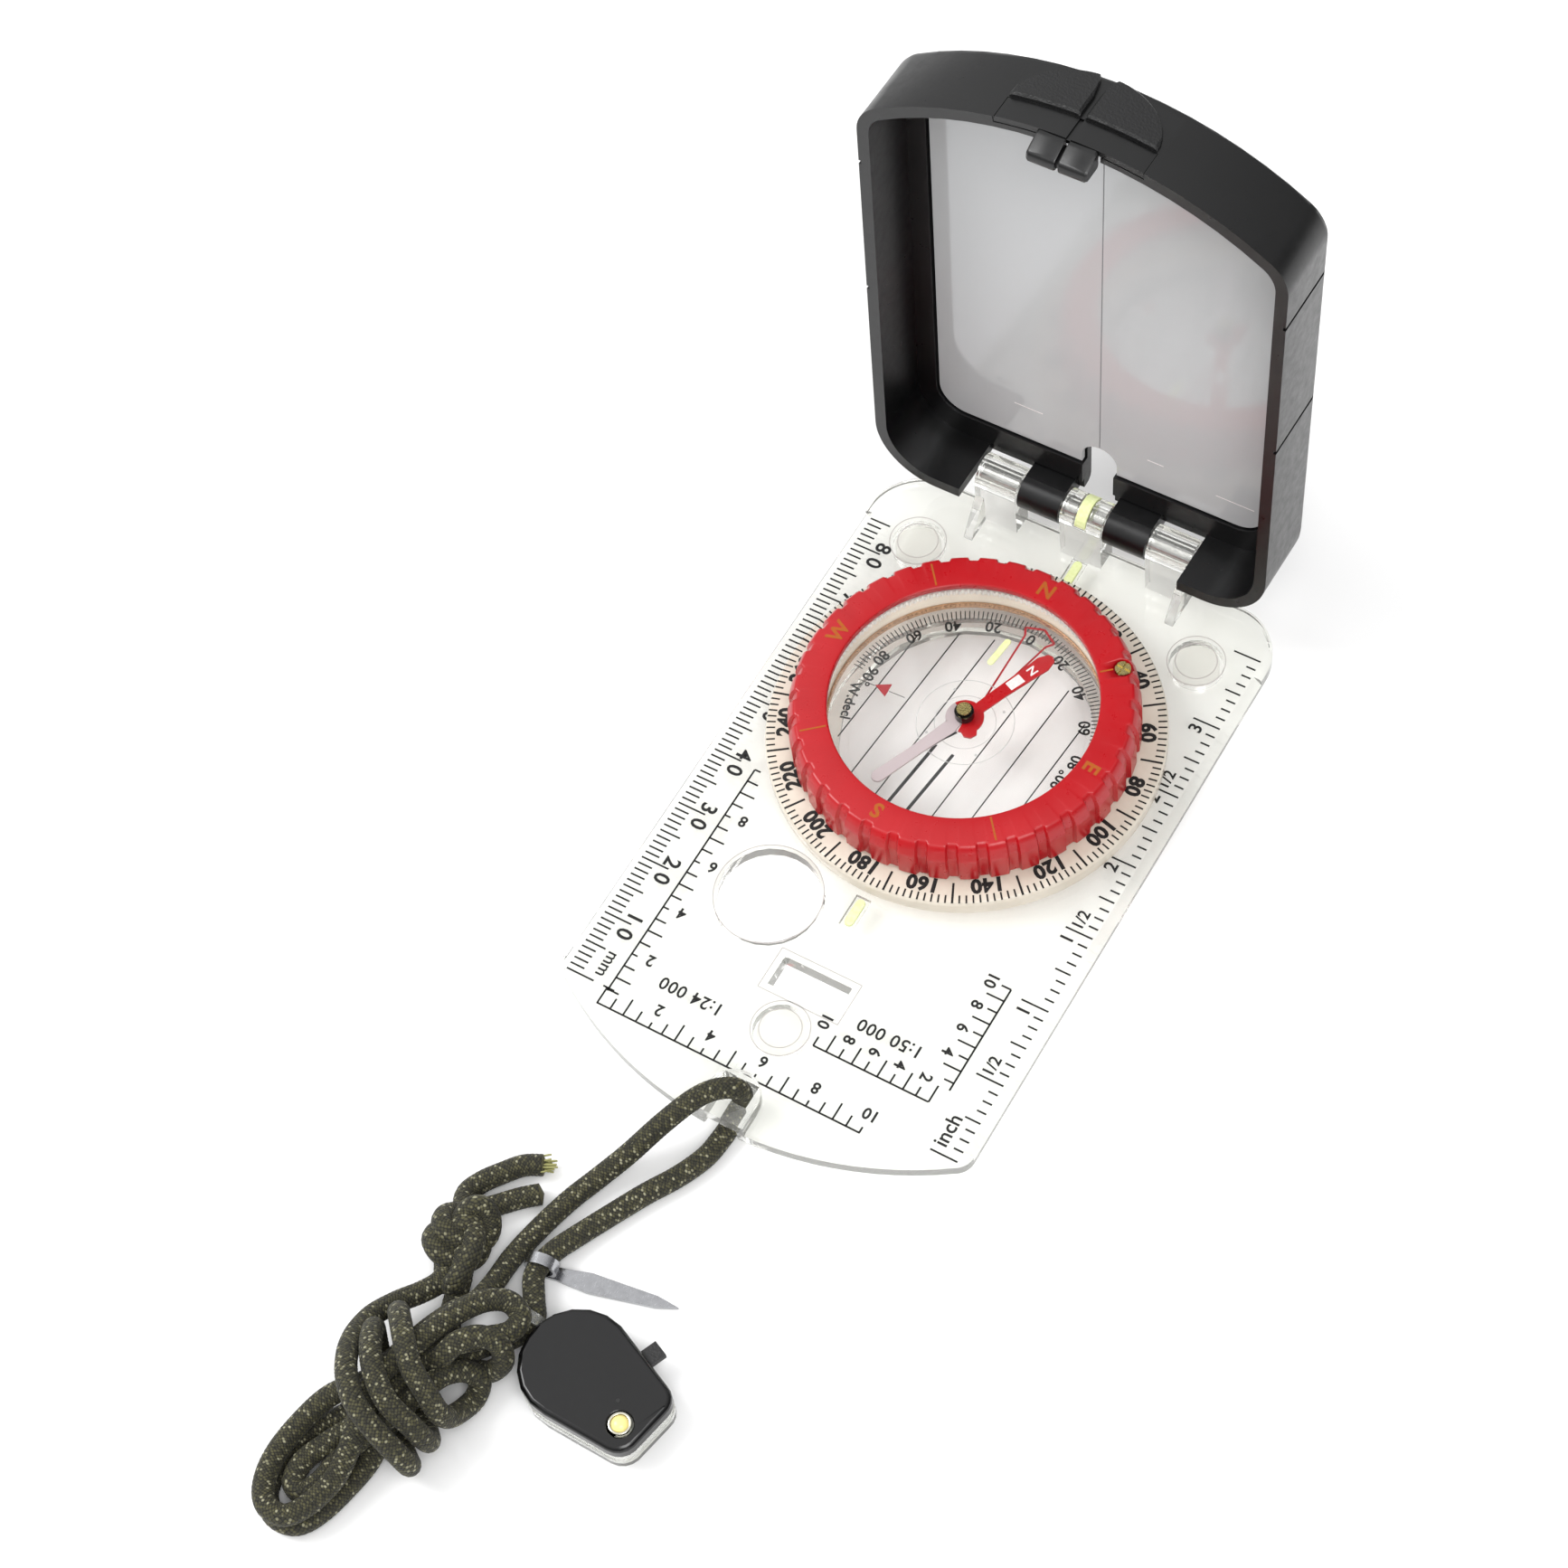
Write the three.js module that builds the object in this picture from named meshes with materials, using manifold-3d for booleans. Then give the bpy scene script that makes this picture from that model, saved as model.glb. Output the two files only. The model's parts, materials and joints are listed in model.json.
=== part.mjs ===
// A folding mirror baseplate compass with a turning dial, a declination screw, a clinometer, a needle, a sighting lid and a
// knotted lanyard that carries a declination key and a small lamp. The lid stands open.
//
// Units are millimetres. X runs across the baseplate, Y runs from the zero of its rulers to the hinge, and Z is up from the
// surface that the compass stands on. The last step moves the origin to the middle of the footprint.
import * as THREE from "three";
import { mergeVertices } from "three/addons/utils/BufferGeometryUtils.js";
import Module from "manifold-3d";

const wasm = await Module();
wasm.setup();

// ---------------------------------------------------------------- driving dimensions

const FOOTPRINT_MIDDLE_Y = 47.73; // halfway from the front of the baseplate to the back of the open lid
const GAP = 0.3; // between pieces that touch on the real compass

const PLATE = {
  halfWidth: 32.75,
  front: -10.5,
  rear: 96,
  bottom: 0.8,
  top: 3.4,
  frontRadius: 56,
  cornerRadius: 3,
  rearRadius: 8.5,
  edgeChamfer: 0.4,
  rulerChamfer: 1.3,
};
const MAP_HOLE = { x: -12.2, y: 23.2, radius: 7.5 };
const LATCH_HOLE = { x: 0.3, y: 13.4, width: 10.8, depth: 4.8 };
const SLOT = { halfWidth: 2.7, near: -7.5, far: -3.9, bridgeTop: 5.4, bridgeBottom: 3.4, collar: 1.2 };
const FOOT = { radius: 3.4, recess: 4, top: 2, places: { left: [-23, 84.7], right: [23, 84.7], front: [0, 5.9] } };
const STRIP = { width: 1.7, length: 4.6, thickness: 0.4, places: { front: 26.3, rear: 90 } };

const HINGE = { y: 95.4, z: 11.4, radius: 2.9, knuckle: 7, pinRadius: 1.15, boreRadius: 1.4 };
const GUSSET = { x: 16.6, width: 1.4, front: 88, rise: 5.5 };

const LID = {
  openBeyondUpright: 3.54, // degrees
  halfWidth: 31.3,
  bottom: 1.2,
  archRadius: 53,
  archTop: 84,
  shoulder: 6,
  corner: 9.5,
  wall: 1.8,
  rim: -6.8, // across the lid, from the hinge axis
  back: 5.4,
  panel: 1.2,
  backRound: 1.4,
  notchHalfWidth: 17.7,
  ledge: 2.6,
  grooves: [39.8, 64.6],
};
const MIRROR = { inset: 5.1, bottom: 7.4, front: 3.1, thickness: 0.8 };
const SIGHT_HOLE = { halfWidth: 2.5, top: 11.5 };
const LATCH = { halfWidth: 10.6, rear: 3.3, seat: 0.7, proud: 0.9, tabHalfWidth: 4.3, tabFront: -10.1, tabZ: [80.9, 82.6] };

const DIAL = { y: 58.3, turned: -4.6, sides: 48 }; // degrees, seen from above
const ARROW_TURNED = -2.4; // the orienting arrow against the dial, set with the declination screw
const RING = { outer: 28.7, inner: 18.1, bottom: 3.7, top: 6.2, floorTop: 6, sleeve: 1.1, sleeveBottom: 1.2 };
const RETAINER = { inner: 18.4, outer: 20.5, bottom: 1.1, top: 1.7, recess: 20.9, recessTop: 2.1 };
const BEZEL = { opening: 19.2, bore: 21.9, topRadius: 24.4, baseRadius: 25, bottom: 6.5, top: 13.9, lip: 1.2, grips: 36 };
const CUP = { outer: 20.8, inner: 20.2, bottom: 6.3, floorTop: 6.9, flangeBottom: 11.4, top: 12.4 };
const WINDOW = { bottom: 11.6, top: 12.3 };
const NEEDLE = { turned: -23.6, north: 15.8, south: 16.3, bottom: 8.8, thickness: 0.35, hub: 3.2 };
const PIVOT = { radius: 0.8, top: 8.5 };
const CLINOMETER = { turned: 92.3, radius: 7.1, bottom: 7.2, thickness: 0.4, reach: 17.2, hole: 1.4 };
const GEAR = { teeth: 112, pinionTeeth: 8, distance: 22.9, root: 21, tip: 21.55, pinionRoot: 1.15, pinionTip: 1.75 };
const SCREW = { shaft: 0.6, head: 1.15, headBottom: 13.1, top: 13.7 };

const CORD = { radius: 1.5, sides: 8, step: 3 };
const LAMP = {
  circles: [
    [2, 0, 7.8],
    [13.2, 0.6, 2.8],
    [11.8, -5, 3],
  ],
  y: -49.6,
  bottom: 0,
  seam: 3.1,
  top: 6,
  wall: 0.9,
};
const KEY = { width: 2.8, thickness: 0.6 };

// ---------------------------------------------------------------- materials

const finish = (color, roughness, metalness = 0, opacity = 1) =>
  new THREE.MeshStandardMaterial({ color, roughness, metalness, opacity, transparent: opacity < 1 });

const CLEAR = finish(0xf2f1ea, 0.05, 0, 0.3);
const TINTED = finish(0xd9cdbb, 0.08, 0, 0.5);
const BLACK = finish(0x17181a, 0.35);
const BLACK_MATT = finish(0x1b1c1d, 0.6);
const RED = finish(0xd41a1c, 0.35);
const LUMINOUS = finish(0xdfe8a0, 0.5);
const STEEL = finish(0xb8bcc0, 0.25, 1);
const BRASS = finish(0xc9b26a, 0.3, 1);
const COPPER = finish(0xb9794a, 0.3, 1);
const SILVER = finish(0xd7d9da, 0.05, 1);
const RUBBER = finish(0xe6e6e2, 0.5, 0, 0.6);
const NEEDLE_PAINT = finish(0xc81e22, 0.4);
const CORD_GREEN = finish(0x45452c, 0.9);
const LED = finish(0xe8d98a, 0.15, 0, 0.8);

// ---------------------------------------------------------------- solids

// A closed three.js geometry as a manifold solid.
function solid(geometry) {
  const bare = new THREE.BufferGeometry();
  bare.setAttribute("position", geometry.getAttribute("position"));
  if (geometry.index) bare.setIndex(geometry.index);
  const merged = mergeVertices(bare, 1e-4);
  const mesh = new wasm.Mesh({
    numProp: 3,
    vertProperties: merged.attributes.position.array,
    triVerts: new Uint32Array(merged.index.array),
  });
  return new wasm.Manifold(mesh);
}

function geometryOf(manifold) {
  const mesh = manifold.getMesh();
  return new THREE.BufferGeometry()
    .setAttribute("position", new THREE.BufferAttribute(new Float32Array(mesh.vertProperties), 3))
    .setIndex(new THREE.BufferAttribute(new Uint32Array(mesh.triVerts), 1));
}

function block([x0, x1], [y0, y1], [z0, z1]) {
  const box = new THREE.BoxGeometry(x1 - x0, y1 - y0, z1 - z0);
  return solid(box.translate((x0 + x1) / 2, (y0 + y1) / 2, (z0 + z1) / 2));
}

function extruded(shape, from, to, bevel = 0, bevelSegments = 1, curveSegments = 8) {
  return new THREE.ExtrudeGeometry(shape, {
    depth: to - from - 2 * bevel,
    bevelEnabled: bevel > 0,
    bevelThickness: bevel,
    bevelSize: bevel,
    bevelOffset: -bevel,
    bevelSegments,
    curveSegments,
  }).translate(0, 0, from + bevel);
}

// A shape drawn in X and Y, raised between two heights.
const raised = (shape, from, to, ...rest) => solid(extruded(shape, from, to, ...rest));

// A shape drawn in X and Z, with its depth along Y.
const alongY = (shape, from, to, ...rest) => solid(extruded(shape, -to, -from, ...rest).rotateX(Math.PI / 2));

// A shape drawn in Y and Z, with its depth along X.
const TURN_TO_X = new THREE.Matrix4().set(0, 0, 1, 0, 1, 0, 0, 0, 0, 1, 0, 0, 0, 0, 0, 1);
const alongX = (shape, from, to, ...rest) => solid(extruded(shape, from, to, ...rest).applyMatrix4(TURN_TO_X));

// A solid of revolution about Z from a closed profile of [radius, height] points.
function turned(profile, sides = DIAL.sides) {
  const points = [...profile, profile[0]].map(([r, z]) => new THREE.Vector2(r, z));
  return solid(new THREE.LatheGeometry(points, sides).rotateX(Math.PI / 2));
}

const ringProfile = (inner, outer, bottom, top) => [
  [inner, bottom],
  [outer, bottom],
  [outer, top],
  [inner, top],
];
const ring = (inner, outer, bottom, top, sides) => turned(ringProfile(inner, outer, bottom, top), sides);
const drum = (radius, bottom, top, sides = DIAL.sides) => turned(ringProfile(0, radius, bottom, top), sides);

function drumAlongX(radius, [from, to], y, z, sides = 24) {
  const cylinder = new THREE.CylinderGeometry(radius, radius, to - from, sides).rotateZ(Math.PI / 2);
  return solid(cylinder.translate((from + to) / 2, y, z));
}

function polygon(points) {
  return new THREE.Shape(points.map(([x, y]) => new THREE.Vector2(x, y)));
}

function rectangle([x0, x1], [y0, y1]) {
  return polygon([
    [x0, y0],
    [x1, y0],
    [x1, y1],
    [x0, y1],
  ]);
}

function circle(x, y, radius, kind = THREE.Shape) {
  const path = new kind();
  path.absarc(x, y, radius, 0, 2 * Math.PI);
  return path;
}

function tube(points, radius = CORD.radius, steps) {
  const route = new THREE.CatmullRomCurve3(points.map((p) => new THREE.Vector3(...p)), false, "centripetal");
  const section = new THREE.Shape();
  for (let i = 0; i < CORD.sides; i++) {
    const a = (2 * Math.PI * i) / CORD.sides;
    if (i === 0) section.moveTo(radius * Math.cos(a), radius * Math.sin(a));
    else section.lineTo(radius * Math.cos(a), radius * Math.sin(a));
  }
  return new THREE.ExtrudeGeometry(section, {
    steps: steps ?? Math.max(3, Math.round(route.getLength() / CORD.step)),
    extrudePath: route,
    bevelEnabled: false,
  });
}

function piece(name, shape, material) {
  const mesh = new THREE.Mesh(shape.isBufferGeometry ? shape : geometryOf(shape), material);
  mesh.name = name;
  return mesh;
}

// ---------------------------------------------------------------- baseplate

function plateOutline() {
  const { halfWidth, front, rear, frontRadius, cornerRadius, rearRadius } = PLATE;
  const arcY = front + frontRadius;
  const cornerX = halfWidth - cornerRadius;
  const cornerY = arcY - Math.sqrt((frontRadius - cornerRadius) ** 2 - cornerX ** 2);
  const meet = Math.atan2(cornerY - arcY, cornerX);
  const outline = new THREE.Shape();
  outline.absarc(cornerX, cornerY, cornerRadius, meet, 0);
  outline.absarc(halfWidth - rearRadius, rear - rearRadius, rearRadius, 0, Math.PI / 2);
  outline.absarc(rearRadius - halfWidth, rear - rearRadius, rearRadius, Math.PI / 2, Math.PI);
  outline.absarc(-cornerX, cornerY, cornerRadius, Math.PI, Math.PI - meet);
  outline.absarc(0, arcY, frontRadius, Math.PI - meet, 2 * Math.PI + meet);
  return outline;
}

// The long edges slope down to the map, so that the rulers lie close to it.
function rulerSlope(side) {
  const { halfWidth, top, rulerChamfer: c, front, rear } = PLATE;
  const wedge = polygon([
    [side * (halfWidth - c), top + 0.01],
    [side * (halfWidth + 1), top + 0.01],
    [side * (halfWidth + 1), top - 1.7 * c],
  ]);
  return alongY(wedge, front + 12, rear - 10);
}

// The moulded eye for the lanyard: a bridge raised over the cord, with a collar round the slot behind it.
function lanyardEye(plate) {
  const { halfWidth, near, far, bridgeTop, bridgeBottom, collar } = SLOT;
  const outside = new THREE.Shape();
  outside.moveTo(-halfWidth - collar, PLATE.front + 0.1);
  outside.lineTo(halfWidth + collar, PLATE.front + 0.1);
  outside.absarc(0, far - halfWidth, halfWidth + collar, 0, Math.PI);
  const slot = rectangle([-halfWidth, halfWidth], [near, far]);
  const channel = block([-halfWidth, halfWidth], [PLATE.front - 2, far], [-1, bridgeBottom]);
  return plate
    .add(raised(outside, PLATE.top - 1, bridgeTop, 0, 1, 10))
    .subtract(raised(slot, -1, bridgeTop + 1))
    .subtract(channel);
}

function clearKnuckle(from, to) {
  const { y, z, radius } = HINGE;
  const stem = block([from, to], [y - radius, PLATE.rear], [PLATE.top - 1, z]);
  return drumAlongX(radius, [from, to], y, z).add(stem);
}

function gusset(side) {
  const { x, width, front, rise } = GUSSET;
  const web = polygon([
    [front, PLATE.top - 0.5],
    [HINGE.y - 1, PLATE.top - 0.5],
    [HINGE.y - 1, PLATE.top + rise],
    [HINGE.y - 2.9, PLATE.top + rise],
    [front + 1, PLATE.top + 1.2],
  ]);
  return alongX(web, side * x - width / 2, side * x + width / 2);
}

function baseplate() {
  const { bottom, top, edgeChamfer } = PLATE;
  const outline = plateOutline();
  outline.holes.push(circle(MAP_HOLE.x, MAP_HOLE.y, MAP_HOLE.radius, THREE.Path));
  outline.holes.push(circle(0, DIAL.y, RING.inner + GAP, THREE.Path));
  let plate = raised(outline, bottom, top, edgeChamfer, 1, 12);
  for (const side of [-1, 1]) plate = plate.subtract(rulerSlope(side));
  const half = [LATCH_HOLE.width / 2, LATCH_HOLE.depth / 2];
  plate = plate.subtract(
    block(
      [LATCH_HOLE.x - half[0], LATCH_HOLE.x + half[0]],
      [LATCH_HOLE.y - half[1], LATCH_HOLE.y + half[1]],
      [0, top + 1],
    ),
  );
  plate = plate.subtract(drum(RETAINER.recess, 0, RETAINER.recessTop).translate(0, DIAL.y, 0));
  for (const [x, y] of Object.values(FOOT.places))
    plate = plate.subtract(drum(FOOT.recess, 0, FOOT.top + GAP, 20).translate(x, y, 0));
  for (const y of Object.values(STRIP.places)) {
    const half = [STRIP.width / 2 + GAP, STRIP.length / 2 + GAP];
    plate = plate.subtract(block([-half[0], half[0]], [y - half[1], y + half[1]], [top - STRIP.thickness - GAP, top + 1]));
  }
  plate = lanyardEye(plate);
  const { knuckle: k, y, z, radius, boreRadius } = HINGE;
  for (const middle of [-2, 0, 2]) plate = plate.add(clearKnuckle((middle - 0.5) * k + 0.15, (middle + 0.5) * k - 0.15));
  for (const side of [-1, 1]) plate = plate.add(gusset(side));
  const halfGroove = STRIP.width / 2 + GAP;
  const groove = drumAlongX(radius + 1, [-halfGroove, halfGroove], y, z)
    .subtract(drumAlongX(radius - STRIP.thickness - GAP, [-3, 3], y, z))
    .subtract(block([-3, 3], [y - 5, y + 5], [0, z]));
  return plate.subtract(drumAlongX(boreRadius, [-3 * k, 3 * k], y, z)).subtract(groove);
}

// Half a ring that lies in the groove round the middle knuckle.
function hingeStrip() {
  const { y, z, radius } = HINGE;
  const half = STRIP.width / 2;
  return drumAlongX(radius, [-half, half], y, z)
    .subtract(drumAlongX(radius - STRIP.thickness, [-2, 2], y, z))
    .subtract(block([-2, 2], [y - 5, y + 5], [0, z + GAP]));
}

function baseGroup() {
  const group = new THREE.Group();
  group.add(piece("baseplate", baseplate(), CLEAR));
  for (const [name, [x, y]] of Object.entries(FOOT.places)) {
    const foot = piece(`foot_${name}`, drum(FOOT.radius, 0, FOOT.top, 20), RUBBER);
    foot.position.set(x, y, 0);
    group.add(foot);
  }
  for (const [name, y] of Object.entries(STRIP.places)) {
    const [w, l] = [STRIP.width / 2, STRIP.length / 2];
    const bar = block([-w, w], [y - l, y + l], [PLATE.top - STRIP.thickness, PLATE.top]);
    group.add(piece(`luminous_strip_${name}`, bar, LUMINOUS));
  }
  group.add(piece("luminous_strip_hinge", hingeStrip(), LUMINOUS));
  const pinEnd = 2.5 * HINGE.knuckle - 0.2;
  group.add(piece("hinge_pin", drumAlongX(HINGE.pinRadius, [-pinEnd, pinEnd], HINGE.y, HINGE.z), STEEL));
  return group;
}

// ---------------------------------------------------------------- lid, drawn upright with the hinge axis at the origin

function lidOutline(inset, bottom = LID.bottom + inset) {
  const halfWidth = LID.halfWidth - inset;
  const arch = LID.archRadius - inset;
  const archY = LID.archTop - LID.archRadius;
  const shoulder = LID.shoulder - Math.min(inset, LID.shoulder - 1);
  const corner = Math.max(LID.corner - inset, 2);
  const shoulderX = halfWidth - shoulder;
  const shoulderY = archY + Math.sqrt((arch - shoulder) ** 2 - shoulderX ** 2);
  const meet = Math.atan2(shoulderY - archY, shoulderX);
  const outline = new THREE.Shape();
  outline.absarc(halfWidth - corner, bottom + corner, corner, -Math.PI / 2, 0);
  outline.absarc(shoulderX, shoulderY, shoulder, 0, meet);
  outline.absarc(0, archY, arch, meet, Math.PI - meet);
  outline.absarc(-shoulderX, shoulderY, shoulder, Math.PI - meet, Math.PI);
  outline.absarc(corner - halfWidth, bottom + corner, corner, Math.PI, 1.5 * Math.PI);
  return outline;
}

// The slot that is looked through, open at the hinge and round at its top.
function sightHole(clearance = 0) {
  const half = SIGHT_HOLE.halfWidth + clearance;
  const shape = new THREE.Shape();
  shape.moveTo(-half, LID.bottom - 2);
  shape.lineTo(half, LID.bottom - 2);
  shape.absarc(0, SIGHT_HOLE.top - SIGHT_HOLE.halfWidth, half, 0, Math.PI);
  return alongY(shape, MIRROR.front - 2, LID.back + 1, 0, 1, 6);
}

// What lies under the top of the lid between two radii of its arch.
function archBand(innerRadius, outerRadius, halfWidth, [from, to]) {
  const archY = LID.archTop - LID.archRadius;
  const a = Math.asin(halfWidth / LID.archRadius);
  const shape = new THREE.Shape();
  shape.absarc(0, archY, outerRadius, Math.PI / 2 - a, Math.PI / 2 + a);
  shape.absarc(0, archY, innerRadius, Math.PI / 2 + a, Math.PI / 2 - a, true);
  return alongY(shape, from, to, 0, 1, 10);
}

function lidKnuckle(from, to) {
  const web = block([from, to], [0, LID.back - 0.8], [0, LID.bottom + LID.wall]);
  return drumAlongX(HINGE.radius, [from, to], 0, 0).add(web);
}

function lidShell() {
  const { rim, back, panel, backRound, wall, ledge, notchHalfWidth, bottom } = LID;
  let shell = alongY(lidOutline(0), rim - backRound, back, backRound, 3, 8);
  shell = shell.subtract(block([-40, 40], [rim - 5, rim], [-5, 95]));
  shell = shell.subtract(alongY(lidOutline(wall), rim - 1, ledge, 0, 1, 8));
  shell = shell.subtract(alongY(lidOutline(MIRROR.inset - GAP, MIRROR.bottom - GAP), ledge - 1, back - panel, 0, 1, 8));
  shell = shell.subtract(
    block([-notchHalfWidth, notchHalfWidth], [rim - 1, 3.3], [bottom - 3, bottom + wall + 0.2]),
  );
  for (const z of LID.grooves)
    for (const side of [-1, 1]) {
      const x = side * LID.halfWidth;
      shell = shell.subtract(block([x - 0.4, x + 0.4], [rim - 1, back - 1], [z - 0.3, z + 0.3]));
    }
  const seat = LATCH.seat + GAP;
  const arch = LID.archRadius;
  shell = shell.subtract(archBand(arch - seat, arch + 2, LATCH.halfWidth + GAP, [rim - 1, LATCH.rear + GAP]));
  shell = shell.subtract(
    block([-LATCH.tabHalfWidth - GAP, LATCH.tabHalfWidth + GAP], [rim - 1, -4.3], [78, 85]),
  );
  const k = HINGE.knuckle;
  for (const side of [-1, 1]) {
    const ends = [side * (0.5 * k + 0.15), side * (1.5 * k - 0.15)].sort((a, b) => a - b);
    shell = shell.add(lidKnuckle(...ends));
  }
  return shell.subtract(sightHole()).subtract(drumAlongX(HINGE.boreRadius, [-3 * k, 3 * k], 0, 0));
}

function mirror() {
  const { inset, bottom, front, thickness } = MIRROR;
  return alongY(lidOutline(inset, bottom), front, front + thickness, 0, 1, 8).subtract(sightHole(GAP));
}

// The insert at the top of the lid: two grip pads with a sighting notch between them, and the tab that latches in the plate.
function sightLatch() {
  const { halfWidth, rear, seat, proud, tabHalfWidth, tabFront, tabZ } = LATCH;
  const arch = LID.archRadius;
  const front = LID.rim + 0.2;
  let latch = archBand(arch - seat, arch, halfWidth, [front, rear]);
  const pads = archBand(arch - 0.2, arch + proud, halfWidth - 0.6, [-2, rear]);
  latch = latch.add(pads);
  latch = latch.add(block([-tabHalfWidth, tabHalfWidth], [front, -4.6], [tabZ[0], LID.archTop - 0.3]));
  latch = latch.add(block([-tabHalfWidth, tabHalfWidth], [tabFront, -4.6], tabZ));
  const top = LID.archTop + proud;
  const notch = polygon([
    [-0.9, top + 0.1],
    [0, top - 1.2],
    [0.9, top + 0.1],
  ]);
  return latch.subtract(alongY(notch, front - 1, rear + 1));
}

function lidGroup() {
  const group = new THREE.Group();
  group.add(piece("lid_shell", lidShell(), BLACK));
  group.add(piece("mirror", mirror(), SILVER));
  group.add(piece("sight_latch", sightLatch(), BLACK_MATT));
  group.position.set(0, HINGE.y, HINGE.z);
  group.rotation.x = THREE.MathUtils.degToRad(-LID.openBeyondUpright);
  return group;
}

// ---------------------------------------------------------------- dial, drawn about its own axis with its north along Y

function bezel() {
  const { opening, bore, topRadius, baseRadius, bottom, top, lip, grips } = BEZEL;
  let body = turned([
    [bore, bottom],
    [baseRadius, bottom],
    [topRadius, top - 0.4],
    [topRadius - 0.4, top],
    [opening, top],
    [opening, top - lip],
    [bore, top - lip],
  ]);
  const groove = block([topRadius - 0.4, baseRadius + 2], [-1, 1], [bottom - 1, top + 1]);
  for (let i = 0; i < grips; i++) body = body.subtract(groove.rotate([0, 0, ((i + 0.5) * 360) / grips]));
  const at = (s) => s.translate(GEAR.distance * Math.SQRT1_2, GEAR.distance * Math.SQRT1_2, 0);
  body = body.subtract(at(drum(SCREW.shaft + GAP, bottom + 2, top + 1, 16)));
  body = body.subtract(at(drum(SCREW.head + GAP, SCREW.headBottom - GAP, top + 1, 16)));
  return body.subtract(at(drum(GEAR.pinionTip + GAP, CUP.flangeBottom - 2 * GAP, CUP.top + GAP, 20)));
}

// Fine pointed teeth round a circle, with a tooth at the given angle in degrees.
function toothedOutline(teeth, root, tip, phase) {
  const corners = [];
  for (let i = 0; i < 2 * teeth; i++) {
    const angle = THREE.MathUtils.degToRad(phase) + (Math.PI * i) / teeth;
    const r = i % 2 ? root : tip;
    corners.push([r * Math.cos(angle), r * Math.sin(angle)]);
  }
  return polygon(corners);
}

// The graduated ring, its clear floor, and the sleeve that turns in the baseplate.
function graduatedDial() {
  const { outer, inner, bottom, top, floorTop, sleeve, sleeveBottom } = RING;
  return turned([
    [inner - sleeve, sleeveBottom],
    [inner, sleeveBottom],
    [inner, bottom],
    [outer, bottom],
    [outer, top - 0.5],
    [outer - 0.4, top],
    [BEZEL.bore - 0.8, top],
    [CUP.outer + GAP, floorTop],
    [0, floorTop],
    [0, bottom + 1],
    [inner - sleeve, bottom + 1],
  ]);
}

// The capsule's cup, with the toothed flange that the declination screw drives.
function capsuleCup() {
  const { outer, inner, bottom, floorTop, flangeBottom, top } = CUP;
  const cup = turned([
    [0, bottom],
    [outer, bottom],
    [outer, top],
    [inner, top],
    [inner, floorTop],
    [0, floorTop],
  ]);
  const teeth = toothedOutline(GEAR.teeth, GEAR.root, GEAR.tip, 45);
  teeth.holes.push(circle(0, 0, outer - 0.2, THREE.Path));
  return cup.add(raised(teeth, flangeBottom, top - GAP, 0, 1, 24));
}

function declinationScrew() {
  const { pinionTeeth: teeth, pinionRoot, pinionTip } = GEAR;
  const pinion = toothedOutline(teeth, pinionRoot, pinionTip, 180 + 45 + 180 / teeth);
  const { shaft, head, headBottom, top } = SCREW;
  return raised(pinion, CUP.flangeBottom, CUP.top - GAP)
    .add(drum(shaft, CUP.top - 2 * GAP, headBottom + 0.1, 16))
    .add(drum(head, headBottom, top, 16))
    .subtract(block([-0.18, 0.18], [-2, 2], [top - 0.3, top + 1]))
    .subtract(block([-2, 2], [-0.18, 0.18], [top - 0.3, top + 1]));
}

function needle() {
  const { north, south, bottom, thickness, hub } = NEEDLE;
  const shape = polygon([
    [-0.9, -south],
    [0.9, -south],
    [0.75, -2],
    [0.9, 2],
    [0.9, north - 2.6],
    [1.3, north - 1.8],
    [0, north],
    [-1.3, north - 1.8],
    [-0.9, north - 2.6],
    [-0.9, 2],
    [-0.75, -2],
  ]);
  return raised(shape, bottom, bottom + thickness)
    .add(drum(hub, bottom, bottom + thickness, 24))
    .subtract(drum(PIVOT.radius / 2, bottom - 1, bottom + 2, 12));
}

function clinometer() {
  const { radius, bottom, thickness, reach, hole } = CLINOMETER;
  return drum(radius, bottom, bottom + thickness, 40)
    .add(block([-1.4, 1.4], [1, reach], [bottom, bottom + thickness]))
    .subtract(drum(hole, bottom - 1, bottom + 1, 20));
}

function clinometerPointer() {
  const z = CLINOMETER.bottom + CLINOMETER.thickness + 0.1;
  const shape = polygon([
    [-1.1, 12.3],
    [1.1, 12.3],
    [0, 14.4],
  ]);
  return raised(shape, z, z + 0.2);
}

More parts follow.
